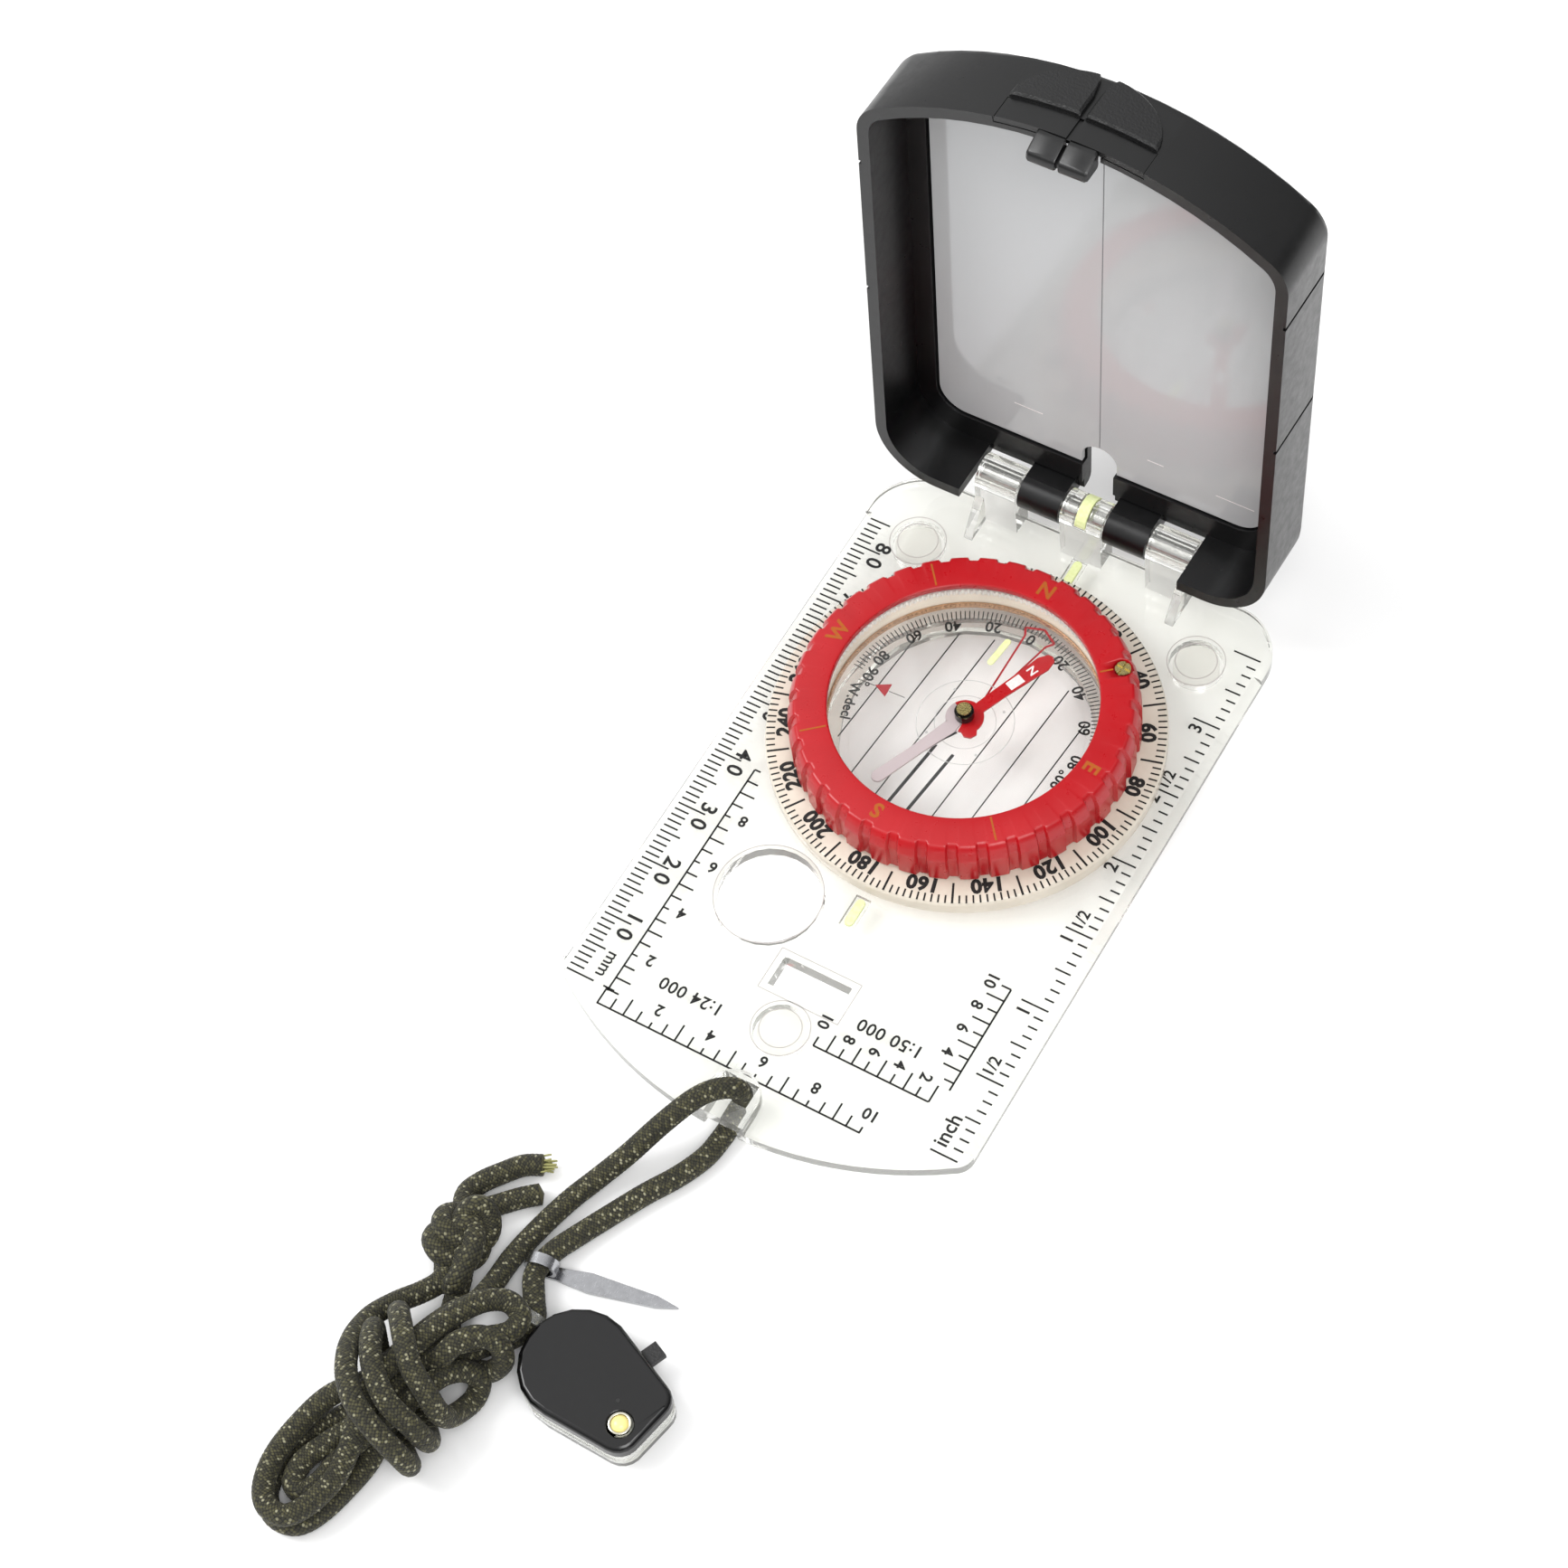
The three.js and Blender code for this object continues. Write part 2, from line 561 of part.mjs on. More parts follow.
function dialGroup() {
  const group = new THREE.Group();
  group.add(piece("graduated_dial", graduatedDial(), TINTED));
  group.add(piece("retaining_ring", ring(RETAINER.inner, RETAINER.outer, RETAINER.bottom, RETAINER.top), CLEAR));
  group.add(piece("bezel", bezel(), RED));
  const screw = piece("declination_screw", declinationScrew(), BRASS);
  screw.position.set(GEAR.distance * Math.SQRT1_2, GEAR.distance * Math.SQRT1_2, 0);
  group.add(screw);
  group.add(piece("capsule_cup", capsuleCup(), CLEAR));
  group.add(piece("capsule_gasket", ring(CUP.inner - 0.9, CUP.inner - GAP, WINDOW.bottom - 0.9, WINDOW.bottom - GAP), RUBBER));
  group.add(piece("capsule_window", drum(CUP.inner - GAP, WINDOW.bottom, WINDOW.top), CLEAR));
  group.add(piece("damping_ring", ring(CUP.inner - 0.7, CUP.inner - 0.2, CUP.floorTop + 0.1, CUP.floorTop + 1.5), COPPER));
  const post = turned([
    [0, CUP.floorTop + GAP],
    [PIVOT.radius, CUP.floorTop + GAP],
    [PIVOT.radius, PIVOT.top - 0.9],
    [0.12, PIVOT.top],
    [0, PIVOT.top],
  ], 16);
  group.add(piece("pivot_post", post, STEEL));
  const strip = block([-3.8, -2.6], [10, 15.1], [CUP.floorTop + 0.05, CUP.floorTop + 0.25]);
  group.add(piece("luminous_strip_capsule", strip.rotate([0, 0, ARROW_TURNED]), LUMINOUS));
  group.add(piece("clinometer_arm", clinometer().rotate([0, 0, CLINOMETER.turned - DIAL.turned]), CLEAR));
  group.add(piece("clinometer_pointer", clinometerPointer().rotate([0, 0, CLINOMETER.turned - DIAL.turned]), RED));
  const top = NEEDLE.bottom + NEEDLE.thickness + GAP;
  const swung = NEEDLE.turned - DIAL.turned;
  group.add(piece("needle", needle().rotate([0, 0, swung]), NEEDLE_PAINT));
  group.add(piece("needle_collar", drum(1.4, top, top + 1.3, 20), BLACK));
  group.add(piece("needle_cap", drum(1.05, top + 1.6, top + 1.9, 20), BRASS));
  group.position.set(0, DIAL.y, 0);
  group.rotation.z = THREE.MathUtils.degToRad(DIAL.turned);
  return group;
}

// ---------------------------------------------------------------- lanyard

// The strand that rises through the slot, arches over the bridge and comes down to the hank.
const STRAND_A = [
  [0.9, -5.7, 3.7],
  [0.85, -5.7, 5.4],
  [0.1, -6.4, 7.2],
  [-1.9, -8.2, 7.8],
  [-3.8, -10.8, 7.3],
  [-6.2, -15, 5.4],
  [-8.6, -20, 3.2],
  [-10.8, -24.4, 1.8],
  [-12.6, -29, 1.55],
  [-14, -34.3, 1.55],
  [-14.9, -39.6, 1.7],
  [-14.6, -44.6, 3.2],
  [-14.5, -48.4, 5.2],
];
// The strand that leaves the slot under the bridge, and passes through the key's curl and the lamp's eye.
const STRAND_B = [
  [0.9, -5.7, 3.3],
  [0.9, -6, 2.4],
  [0.9, -7, 1.75],
  [0.9, -9, 1.55],
  [0.8, -11.6, 1.55],
  [0.3, -15, 1.55],
  [-1.5, -19.2, 1.55],
  [-4, -23.4, 1.55],
  [-6.4, -28, 1.55],
  [-8.9, -33.2, 1.8],
  [-10.3, -37, 2.4],
  [-10.7, -40.6, 2.5],
  [-8.9, -43.6, 2.5],
  [-7.2, -46.2, 2.5],
  [-8, -49, 2.5],
  [-9.2, -50.8, 2.6],
];
const TAIL_LONG = [
  [-25.4, -35.4, 1.9],
  [-24.7, -32.6, 1.6],
  [-22.8, -29.9, 1.55],
  [-20.9, -27.7, 1.55],
  [-18.6, -26.4, 1.55],
];
const TAIL_SHORT = [
  [-22.2, -36, 1.9],
  [-20.6, -34, 1.6],
  [-18.6, -31.9, 1.55],
  [-16.6, -30.2, 1.55],
];
const HANK = { start: [-11.5, -47.6], heading: -107.5, head: 4.4, wraps: [8.5, 24.6], end: 40.8 };

// A solid with its round ends at two places along the hank, moved so that the hank's own axis is the line of its middle.
function hankPart(from, to, halfWidth, bottom, top, endRadius = halfWidth, middle = 0) {
  const shape = new THREE.Shape();
  const r = endRadius;
  shape.absarc(to - r, halfWidth - r, r, 0, Math.PI / 2);
  shape.absarc(from + r, halfWidth - r, r, Math.PI / 2, Math.PI);
  shape.absarc(from + r, r - halfWidth, r, Math.PI, 1.5 * Math.PI);
  shape.absarc(to - r, r - halfWidth, r, 1.5 * Math.PI, 2 * Math.PI);
  const part = raised(shape, bottom, top, 0.8, 1, 5).translate(0, middle, 0);
  return part.rotate([0, 0, HANK.heading]).translate(...HANK.start, 0);
}

// The cord's turns at the near end of the hank, with the loop that stands over both strands.
function hankHead() {
  const low = hankPart(HANK.head, HANK.wraps[0] - GAP, 7.4, 0.05, 11.4, 1.8);
  return low.add(hankPart(-2.9, HANK.head + 1, 3.1, 5.35, 9.5, 2.9, 2.5));
}

function hankWraps() {
  const [from, to] = HANK.wraps;
  const barrel = new THREE.CylinderGeometry(1, 1, to - from, 16).rotateZ(Math.PI / 2).scale(1, 10.4, 7.3);
  return solid(barrel.translate((from + to) / 2, 0, 7.35)).rotate([0, 0, HANK.heading]).translate(...HANK.start, 0);
}

function knot() {
  const ball = new THREE.SphereGeometry(1, 12, 8).rotateX(Math.PI / 2).scale(4.6, 6.2, 4.2);
  return solid(ball.rotateZ(THREE.MathUtils.degToRad(28)).translate(-21.4, -41.9, 4.25));
}

function lanyardGroup() {
  const [from, to] = HANK.wraps;
  const group = new THREE.Group();
  group.add(piece("lanyard_strand_upper", tube(STRAND_A), CORD_GREEN));
  group.add(piece("lanyard_strand_lower", tube(STRAND_B), CORD_GREEN));
  group.add(piece("lanyard_hank_head", hankHead(), CORD_GREEN));
  group.add(piece("lanyard_hank_wraps", hankWraps(), CORD_GREEN));
  group.add(piece("lanyard_hank_loops", hankPart(to + GAP, HANK.end, 7.2, 0.05, 7.6, 6), CORD_GREEN));
  group.add(piece("lanyard_knot", knot(), CORD_GREEN));
  group.add(piece("lanyard_tail_long", tube(TAIL_LONG, CORD.radius, 6), CORD_GREEN));
  group.add(piece("lanyard_tail_short", tube(TAIL_SHORT, CORD.radius, 4), CORD_GREEN));
  return group;
}

// ---------------------------------------------------------------- declination key and lamp

// A pointed steel strip whose tang is curled round the cord.
function declinationKey() {
  const { width, thickness } = KEY;
  const blade = polygon([
    [-2.2, -0.9],
    [0, -0.9],
    [4.5, -width / 2],
    [14, -0.8],
    [17.2, 0],
    [14, 0.8],
    [4.5, width / 2],
    [0, 0.9],
    [-2.2, 0.9],
  ]);
  const curl = ring(CORD.radius + GAP, CORD.radius + GAP + 0.5, -0.8, 0.8, 20)
    .rotate([90, 0, 0])
    .translate(-2, 0, 2.5);
  return raised(blade, 0.1, 0.1 + thickness).add(curl).rotate([0, 0, 12]).translate(-8.6, -38.6, 0);
}

// The outline round the lamp's three corners, grown or shrunk by an offset.
function lampOutline(offset = 0, sides = 20) {
  const points = [];
  for (const [x, y, r] of LAMP.circles)
    for (let i = 0; i < sides; i++) {
      const a = (2 * Math.PI * i) / sides;
      points.push([x + (r + offset) * Math.cos(a), y + (r + offset) * Math.sin(a)]);
    }
  points.sort((p, q) => p[0] - q[0] || p[1] - q[1]);
  const leftOf = (o, p, q) => (p[0] - o[0]) * (q[1] - o[1]) - (p[1] - o[1]) * (q[0] - o[0]) > 1e-9;
  const half = (list) => {
    const chain = [];
    for (const p of list) {
      while (chain.length > 1 && !leftOf(chain.at(-2), chain.at(-1), p)) chain.pop();
      chain.push(p);
    }
    return chain.slice(0, -1);
  };
  return polygon([...half(points), ...half([...points].reverse())]);
}

function lampGroup() {
  const { y, bottom, seam, top, wall } = LAMP;
  const [led, switchAt] = [
    [11.6, -4.3],
    [9.3, 5.4],
  ];
  const floor = 0.8;
  const base = raised(lampOutline(), bottom, seam - GAP / 2, 0.5).subtract(
    raised(lampOutline(-wall), bottom + floor, seam + 1),
  );
  let cover = raised(lampOutline(), seam + GAP / 2, top, 0.5).subtract(raised(lampOutline(-wall), seam - 1, top - floor));
  cover = cover.subtract(drum(1.5 + GAP, seam, top + 1, 20).translate(...led, 0));
  const slot = block([-2.3, 2.3], [-2, 3], [seam - 1, seam + 1.6]).rotate([0, 0, -23.5]).translate(...switchAt, 0);
  cover = cover.subtract(slot);
  const eye = ring(CORD.radius + GAP, CORD.radius + 1, -0.7, 0.7, 20)
    .rotate([90, 0, 0])
    .translate(-7.15, 3.1, 2.52)
    .subtract(raised(lampOutline(GAP), seam - GAP / 2, top));
  const eyeNeck = block([-5.4, -4.4], [2.4, 3.8], [1, 2.9]);
  const group = new THREE.Group();
  group.add(piece("lamp_base", base.add(eye).add(eyeNeck), CLEAR));
  group.add(piece("lamp_cover", cover, BLACK_MATT));
  group.add(piece("lamp_led", drum(1.5, top - 3.4, top + 0.7, 20).translate(...led, 0), LED));
  group.add(piece("lamp_battery_lower", drum(4.9, bottom + floor + GAP, 2.5, 28).translate(1.4, -0.6, 0), STEEL));
  group.add(piece("lamp_battery_upper", drum(4.9, 2.8, 4.2, 28).translate(1.4, -0.6, 0), STEEL));
  group.add(piece("lamp_contact", block([-1, 8.6], [-1.5, 1], [4.5, 4.75]), COPPER));
  const knob = block([-1.2, 1.2], [-1, 2.4], [seam + GAP, seam + 1.3]).rotate([0, 0, -23.5]).translate(...switchAt, 0);
  group.add(piece("lamp_switch", knob, BLACK_MATT));
  group.position.y = y;
  return group;
}

// ---------------------------------------------------------------- the compass

const compass = new THREE.Group();
compass.add(baseGroup(), lidGroup(), dialGroup(), lanyardGroup(), lampGroup());
compass.add(piece("declination_key", declinationKey(), STEEL));
compass.position.y = -FOOTPRINT_MIDDLE_Y;

export default compass;
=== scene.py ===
"""Looks of a folding mirror compass on a clear baseplate, with its lanyard, declination key and lamp."""

import json
import math
import random

import bmesh
import bpy
from mathutils import Matrix, Vector

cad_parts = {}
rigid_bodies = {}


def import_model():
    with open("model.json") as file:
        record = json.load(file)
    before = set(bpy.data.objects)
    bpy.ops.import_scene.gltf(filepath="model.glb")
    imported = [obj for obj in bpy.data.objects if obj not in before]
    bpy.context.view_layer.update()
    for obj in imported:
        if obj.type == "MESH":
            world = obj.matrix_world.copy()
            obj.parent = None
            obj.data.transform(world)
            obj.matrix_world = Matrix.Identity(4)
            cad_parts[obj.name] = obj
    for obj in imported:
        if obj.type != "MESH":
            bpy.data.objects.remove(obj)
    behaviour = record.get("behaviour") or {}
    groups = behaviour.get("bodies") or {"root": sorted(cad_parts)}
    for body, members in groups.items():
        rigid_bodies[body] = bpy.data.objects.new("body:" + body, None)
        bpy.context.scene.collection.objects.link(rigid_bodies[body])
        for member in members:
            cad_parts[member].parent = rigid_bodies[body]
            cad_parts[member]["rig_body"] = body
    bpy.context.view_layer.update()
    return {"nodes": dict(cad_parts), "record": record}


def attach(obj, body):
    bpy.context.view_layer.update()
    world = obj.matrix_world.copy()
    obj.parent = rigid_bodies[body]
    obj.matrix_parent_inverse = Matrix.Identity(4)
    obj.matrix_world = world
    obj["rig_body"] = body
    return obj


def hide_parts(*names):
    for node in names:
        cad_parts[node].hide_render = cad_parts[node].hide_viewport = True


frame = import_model()

MM = 0.001
JOINTS = {joint["name"]: joint for joint in frame["record"]["behaviour"]["joints"]}
DIAL_MIDDLE = Vector(JOINTS["dial_turn"]["pos_m"])
HINGE_MIDDLE = Vector(JOINTS["lid_hinge"]["pos_m"])

# ---- Places ----
# Most sizes are in millimetres in the plate's own frame: x across, y along the millimetre ruler from
# its zero, z up from what the compass stands on.
DIAL_Y = 58.3
DIAL_AT = (0.0, DIAL_Y)
PLATE_TOP = 3.4
PLATE_SHIFT_Y = DIAL_MIDDLE.y - DIAL_Y * MM


def place(x, y, z):
    """A point of the plate's frame, in the row frame and in metres."""
    return Vector((x * MM, y * MM + PLATE_SHIFT_Y, z * MM))


def polar(radius, bearing, middle=(0.0, 0.0)):
    """A flat point round a middle: the bearing is in degrees, clockwise from the far end."""
    turn = math.radians(bearing)
    return middle[0] + radius * math.sin(turn), middle[1] + radius * math.cos(turn)


def turned(x, y, angle, middle):
    """A flat point turned anticlockwise about its origin, by an angle in radians, and moved to a middle."""
    cos, sin = math.cos(angle), math.sin(angle)
    return middle[0] + x * cos - y * sin, middle[1] + x * sin + y * cos


# ---- Camera ----
CAMERA_AT = (0.1509, -0.21372, 0.44667)
CAMERA_RIGHT = Vector((0.8566, 0.5074, -0.09373))
CAMERA_UP = Vector((-0.39744, 0.76467, 0.50727))
LENS_MM = 83.38
SENSOR_MM = 36.0


def make_camera():
    data = bpy.data.cameras.new("camera")
    data.lens = LENS_MM
    data.sensor_width = SENSOR_MM
    data.clip_start = 0.01
    data.clip_end = 20.0
    camera = bpy.data.objects.new("camera", data)
    bpy.context.scene.collection.objects.link(camera)
    back = CAMERA_RIGHT.cross(CAMERA_UP)
    axes = Matrix((CAMERA_RIGHT, CAMERA_UP, back)).transposed().to_4x4()
    camera.matrix_world = Matrix.Translation(CAMERA_AT) @ axes
    bpy.context.scene.camera = camera


# ---- Material building ----
def add_node(tree, kind, inputs=None, **settings):
    """A new node with its settings. Each of its inputs is a value, or the output of another node."""
    made = tree.nodes.new(kind)
    for key, value in settings.items():
        setattr(made, key, value)
    for socket, value in (inputs or {}).items():
        if isinstance(value, bpy.types.NodeSocket):
            tree.links.new(value, made.inputs[socket])
        else:
            made.inputs[socket].default_value = value
    return made


def add_ramp(tree, factor, *stops):
    """Colours or greys at places along a 0 to 1 factor."""
    ramp = add_node(tree, "ShaderNodeValToRGB", {"Fac": factor})
    elements = ramp.color_ramp.elements
    while len(elements) < len(stops):
        elements.new(0.5)
    for element, (at, colour) in zip(elements, stops):
        element.position = at
        element.color = (colour,) * 3 + (1.0,) if isinstance(colour, float) else colour
    return ramp.outputs["Color"]


class Surface:
    """A material under construction: a Principled shader and short ways to feed it."""

    def __init__(self, name, **values):
        self.material = bpy.data.materials.new(name)
        self.material.use_nodes = True
        self.tree = self.material.node_tree
        self.shader = self.tree.nodes["Principled BSDF"]
        self.coordinates = self.node("ShaderNodeTexCoord").outputs["Object"]
        for socket, value in values.items():
            self.shader.inputs[socket.replace("_", " ")].default_value = value

    def node(self, kind, inputs=None, **settings):
        return add_node(self.tree, kind, inputs, **settings)

    def ramp(self, factor, *stops):
        return add_ramp(self.tree, factor, *stops)

    def noise(self, grain_mm, detail, roughness=0.55, stretch=None):
        """Noise whose blotches are about grain_mm across."""
        source = self.coordinates
        if stretch:
            source = self.node("ShaderNodeMapping", {"Scale": stretch, "Vector": source}).outputs[0]
        values = {"Scale": 1.0 / (grain_mm * MM), "Detail": detail, "Roughness": roughness, "Vector": source}
        return self.node("ShaderNodeTexNoise", values).outputs["Fac"]

    def feed(self, socket, source):
        self.tree.links.new(source, self.shader.inputs[socket])

    def vary(self, socket, factor, *stops):
        """Feeds one of the shader's sockets from a ramp."""
        self.feed(socket, self.ramp(factor, *stops))

    def bump(self, height, depth_mm, strength=1.0):
        bump = {"Strength": strength, "Distance": depth_mm * MM, "Height": height}
        self.feed("Normal", self.node("ShaderNodeBump", bump).outputs["Normal"])

    def mixed(self, share, one, two):
        """Two shaders in one. share is how much of the second shows: a number or a socket."""
        return self.node("ShaderNodeMixShader", {"Fac": share, 1: one, 2: two}).outputs[0]

    def show(self, shader):
        self.tree.links.new(shader, self.tree.nodes["Material Output"].inputs["Surface"])

    def let_light_through(self, tint, seen=None):
        """Light from the lamps and the room reaches what is behind this clear material."""
        path = self.node("ShaderNodeLightPath").outputs
        either = self.node("ShaderNodeMath", {0: path["Is Shadow Ray"], 1: path["Is Diffuse Ray"]},
                           operation="MAXIMUM")
        clear = self.node("ShaderNodeBsdfTransparent", {"Color": tint})
        self.show(self.mixed(either.outputs[0], seen or self.shader.outputs[0], clear.outputs[0]))


def rgb(red, green, blue):
    """A linear colour from display values of 0 to 255."""
    def linear(value):
        value /= 255.0
        return value / 12.92 if value <= 0.04045 else ((value + 0.055) / 1.055) ** 2.4

    return linear(red), linear(green), linear(blue), 1.0


def scaled(colour, factor, more=0.0):
    """A colour made darker or lighter."""
    return tuple(min(1.0, c * factor + more) for c in colour[:3]) + (1.0,)


def thick_clear():
    """Thick clear moulded plastic: slightly uneven gloss, and wide faint waves in its surface."""
    surface = Surface("clear_plastic", Base_Color=(0.965, 0.968, 0.94, 1.0), Roughness=0.03, IOR=1.49,
                      Transmission_Weight=0.94)
    surface.vary("Roughness", surface.noise(1.6, 4.0), (0.35, 0.015), (0.75, 0.06))
    surface.bump(surface.noise(7.0, 1.0), 0.02, 0.25)
    surface.let_light_through((0.94, 0.942, 0.925, 1.0))
    return surface.material


def thin_clear(name, tint, gloss_roughness=0.04, sheen=0.1):
    """A thin clear wall: what is behind shows unbent, with gloss that grows at grazing angles."""
    surface = Surface(name)
    clear = surface.node("ShaderNodeBsdfTransparent", {"Color": tint})
    smear = surface.ramp(surface.noise(5.0, 3.0), (0.3, gloss_roughness * 0.5), (0.8, gloss_roughness * 2.5))
    gloss = surface.node("ShaderNodeBsdfGlossy", {"Roughness": smear})
    grazing = surface.node("ShaderNodeLayerWeight", {"Blend": sheen})
    seen = surface.mixed(grazing.outputs["Facing"], clear.outputs[0], gloss.outputs[0])
    surface.let_light_through((1.0, 1.0, 1.0, 1.0), seen)
    surface.tree.nodes.remove(surface.shader)
    return surface.material


def moulded(name, colour, roughness, grain_mm=0.25, depth_mm=0.006, shade=0.12):
    """Opaque moulded plastic: a fine grain, uneven gloss and slightly uneven colour."""
    surface = Surface(name, Base_Color=colour, Roughness=roughness)
    surface.vary("Base Color", surface.noise(9.0, 2.0), (0.3, scaled(colour, 1 - shade)),
                 (0.7, scaled(colour, 1 + shade)))
    surface.vary("Roughness", surface.noise(1.2, 5.0, 0.65), (0.3, roughness * 0.88),
                 (0.75, min(1.0, roughness * 1.15)))
    if depth_mm:
        surface.bump(surface.noise(grain_mm, 2.0), depth_mm)
    return surface.material


def metal(name, colour, roughness, stretch=(1, 1, 1), shade=0.2):
    """Bare metal with fine brushed scratches and dull spots."""
    surface = Surface(name, Base_Color=colour, Roughness=roughness, Metallic=1.0)
    surface.vary("Base Color", surface.noise(1.0, 4.0), (0.35, scaled(colour, 1 - shade)), (0.65, colour))
    scratches = surface.noise(0.15, 3.0, 0.6, stretch)
    surface.vary("Roughness", scratches, (0.3, roughness * 0.6), (0.8, roughness * 1.7))
    surface.bump(scratches, 0.004)
    return surface.material


def ink(name, colour):
    """Printed ink: slightly uneven in darkness and gloss."""
    surface = Surface(name, Base_Color=colour, Roughness=0.55, Specular_IOR_Level=0.25)
    surface.vary("Base Color", surface.noise(0.35, 3.0), (0.35, colour), (0.8, scaled(colour, 0.75, 0.02)))
    surface.bump(surface.noise(0.12, 2.0), 0.003)
    return surface.material


def luminous_paint():
    surface = Surface("luminous_paint", Roughness=0.6)
    surface.vary("Base Color", surface.noise(0.5, 4.0), (0.3, rgb(214, 224, 152)), (0.7, rgb(232, 238, 186)))
    surface.bump(surface.noise(0.18, 3.0), 0.02)
    return surface.material


def mirror_glass():
    """A first-surface mirror: a silvered sheet with fine wipe marks, mostly covered by a flat grey diffuse
    layer that is a painted reflection.
    """
    surface = Surface("mirror_glass", Base_Color=rgb(176, 178, 180), Roughness=0.06, Metallic=1.0)
    wipes = surface.noise(0.6, 4.0, 0.6, (1.0, 1.0, 0.15))
    surface.vary("Roughness", wipes, (0.35, 0.05), (0.8, 0.12))
    # Flat grey diffuse mixed in at 0.8: painted reflection, standing in for the grey the mirror shows.
    painted_reflection_grey = surface.node("ShaderNodeBsdfDiffuse", {"Color": rgb(192, 193, 194)})
    surface.show(surface.mixed(0.8, surface.shader.outputs[0], painted_reflection_grey.outputs[0]))
    return surface.material


def braid():
    """A fine round braid: small slanted stitches, some of them with a pale fleck, and painted shade in the
    gaps between them.
    """
    surface = Surface("lanyard_braid", Roughness=0.75, Sheen_Weight=0.05, Sheen_Roughness=0.4)
    along = surface.node("ShaderNodeUVMap", uv_map="braid").outputs[0]
    slanted = {"Rotation": (0.0, 0.0, math.radians(45)), "Scale": (2.1, 2.9, 1.0), "Vector": along}
    stitch = surface.node("ShaderNodeMapping", slanted).outputs[0]
    cells = surface.node("ShaderNodeTexVoronoi", {"Scale": 1.0, "Randomness": 0.35, "Vector": stitch},
                         voronoi_dimensions="2D")
    split = surface.node("ShaderNodeSeparateColor", {0: cells.outputs["Color"]})
    olive = surface.ramp(split.outputs[0], (0.0, rgb(36, 35, 21)), (0.5, rgb(56, 54, 33)),
                         (0.86, rgb(78, 75, 47)), (0.97, rgb(150, 147, 120)))
    # Darker towards the gaps between stitches: painted shade multiplied into the colour. The same mask gives
    # the stitches their bump.
    gap_depth_and_shade = surface.ramp(cells.outputs["Distance"], (0.28, 1.0), (0.6, 0.12))
    shaded = surface.node("ShaderNodeMix", {"Factor": 1.0, "A": olive, "B": gap_depth_and_shade}, data_type="RGBA",
                          blend_type="MULTIPLY")
    surface.feed("Base Color", shaded.outputs["Result"])
    surface.bump(gap_depth_and_shade, 0.12, 0.9)
    return surface.material


def ring_plastic():
    """The graduated ring's translucent beige, lighter where light gets through it."""
    surface = Surface("ring_plastic", Roughness=0.12, IOR=1.49, Transmission_Weight=0.3)
    surface.vary("Base Color", surface.noise(3.5, 2.0), (0.3, rgb(214, 206, 192)), (0.7, rgb(226, 219, 206)))
    surface.bump(surface.noise(1.2, 2.0), 0.01, 0.5)
    surface.let_light_through((0.9, 0.86, 0.82, 1.0))
    return surface.material


def lid_plastic():
    """The lid's satin black, unevenly rubbed."""
    surface = Surface("lid_black", Base_Color=rgb(6, 6, 7), Roughness=0.32)
    surface.vary("Base Color", surface.noise(12.0, 2.0), (0.3, rgb(5, 5, 6)), (0.7, rgb(9, 9, 10)))
    surface.vary("Roughness", surface.noise(1.5, 5.0, 0.65), (0.3, 0.27), (0.75, 0.4))
    return surface.material


# ---- Materials ----
# Each row ends with the arguments of the function that makes its kind of material.
PLASTICS = {
    "cream": ((236, 228, 212), 0.35),
    "seal_white": ((240, 238, 232), 0.3),
    "black_gloss": ((9, 9, 10), 0.18, 0.6, 0.0),
    "black_matt": ((14, 14, 15), 0.5, 0.35, 0.12),
    "red_plastic": ((170, 5, 17), 0.3, 1.5, 0.0, 0.06),
    "needle_paint": ((178, 164, 166), 0.4, 0.3, 0.002, 0.04),
    "needle_red": ((172, 6, 16), 0.3, 0.3, 0.002, 0.06),
    "thread": ((150, 148, 92), 0.6, 0.2, 0.01),
    "led": ((236, 220, 140), 0.2),
    "pure_black": ((4, 4, 4), 0.4),
}
METALS = {
    "steel": ((205, 205, 205), 0.2),
    "blade_steel": ((170, 171, 174), 0.2, (1.0, 0.25, 1.0), 0.12),
    "brass": ((214, 196, 132), 0.25),
    "copper": ((205, 165, 130), 0.25),
    "lens_ring": ((225, 222, 205), 0.15),
}
INKS = {
    "ridge_grey": ((176, 170, 168),),
    "edge_grey": ((196, 196, 194),),
    "sight_grey": ((128, 128, 130),),
    "print_red": ((160, 4, 22),),
    "print_black": ((20, 20, 20),),
    "print_orange": ((168, 84, 16),),
    "print_white": ((232, 226, 224),),
}


def make_materials():
    made = {
        "clear_plastic": thick_clear(),
        "tinted_plastic": thin_clear("tinted_plastic", rgb(232, 222, 212)),
        "ring": ring_plastic(),
        "pane": thin_clear("pane", (0.996, 0.996, 0.992, 1.0)),
        "wet_pane": thin_clear("wet_pane", (0.998, 0.998, 0.995, 1.0), 0.04, 0.015),
        "lid_black": lid_plastic(),
        "mirror": mirror_glass(),
        "luminous": luminous_paint(),
        "rubber": thin_clear("rubber", (0.955, 0.95, 0.935, 1.0), 0.12),
        "cord": braid(),
    }
    for make, rows in ((moulded, PLASTICS), (metal, METALS), (ink, INKS)):
        for name, (colour, *look) in rows.items():
            made[name] = make(name, rgb(*colour), *look)
    return made


MATERIALS = make_materials()


# ---- Mesh building ----
def piece(name, shape, material, body, replaced=(), smooth_below=35.0):
    """A finished piece on a body of the frame, made from a bmesh."""
    mesh = finished_mesh(name, shape, smooth_below)
    made = bpy.data.objects.new(name, mesh)
    bpy.context.scene.collection.objects.link(made)
    mesh.materials.append(MATERIALS[material])
    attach(made, body)
    if replaced:
        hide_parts(*replaced)
    return made


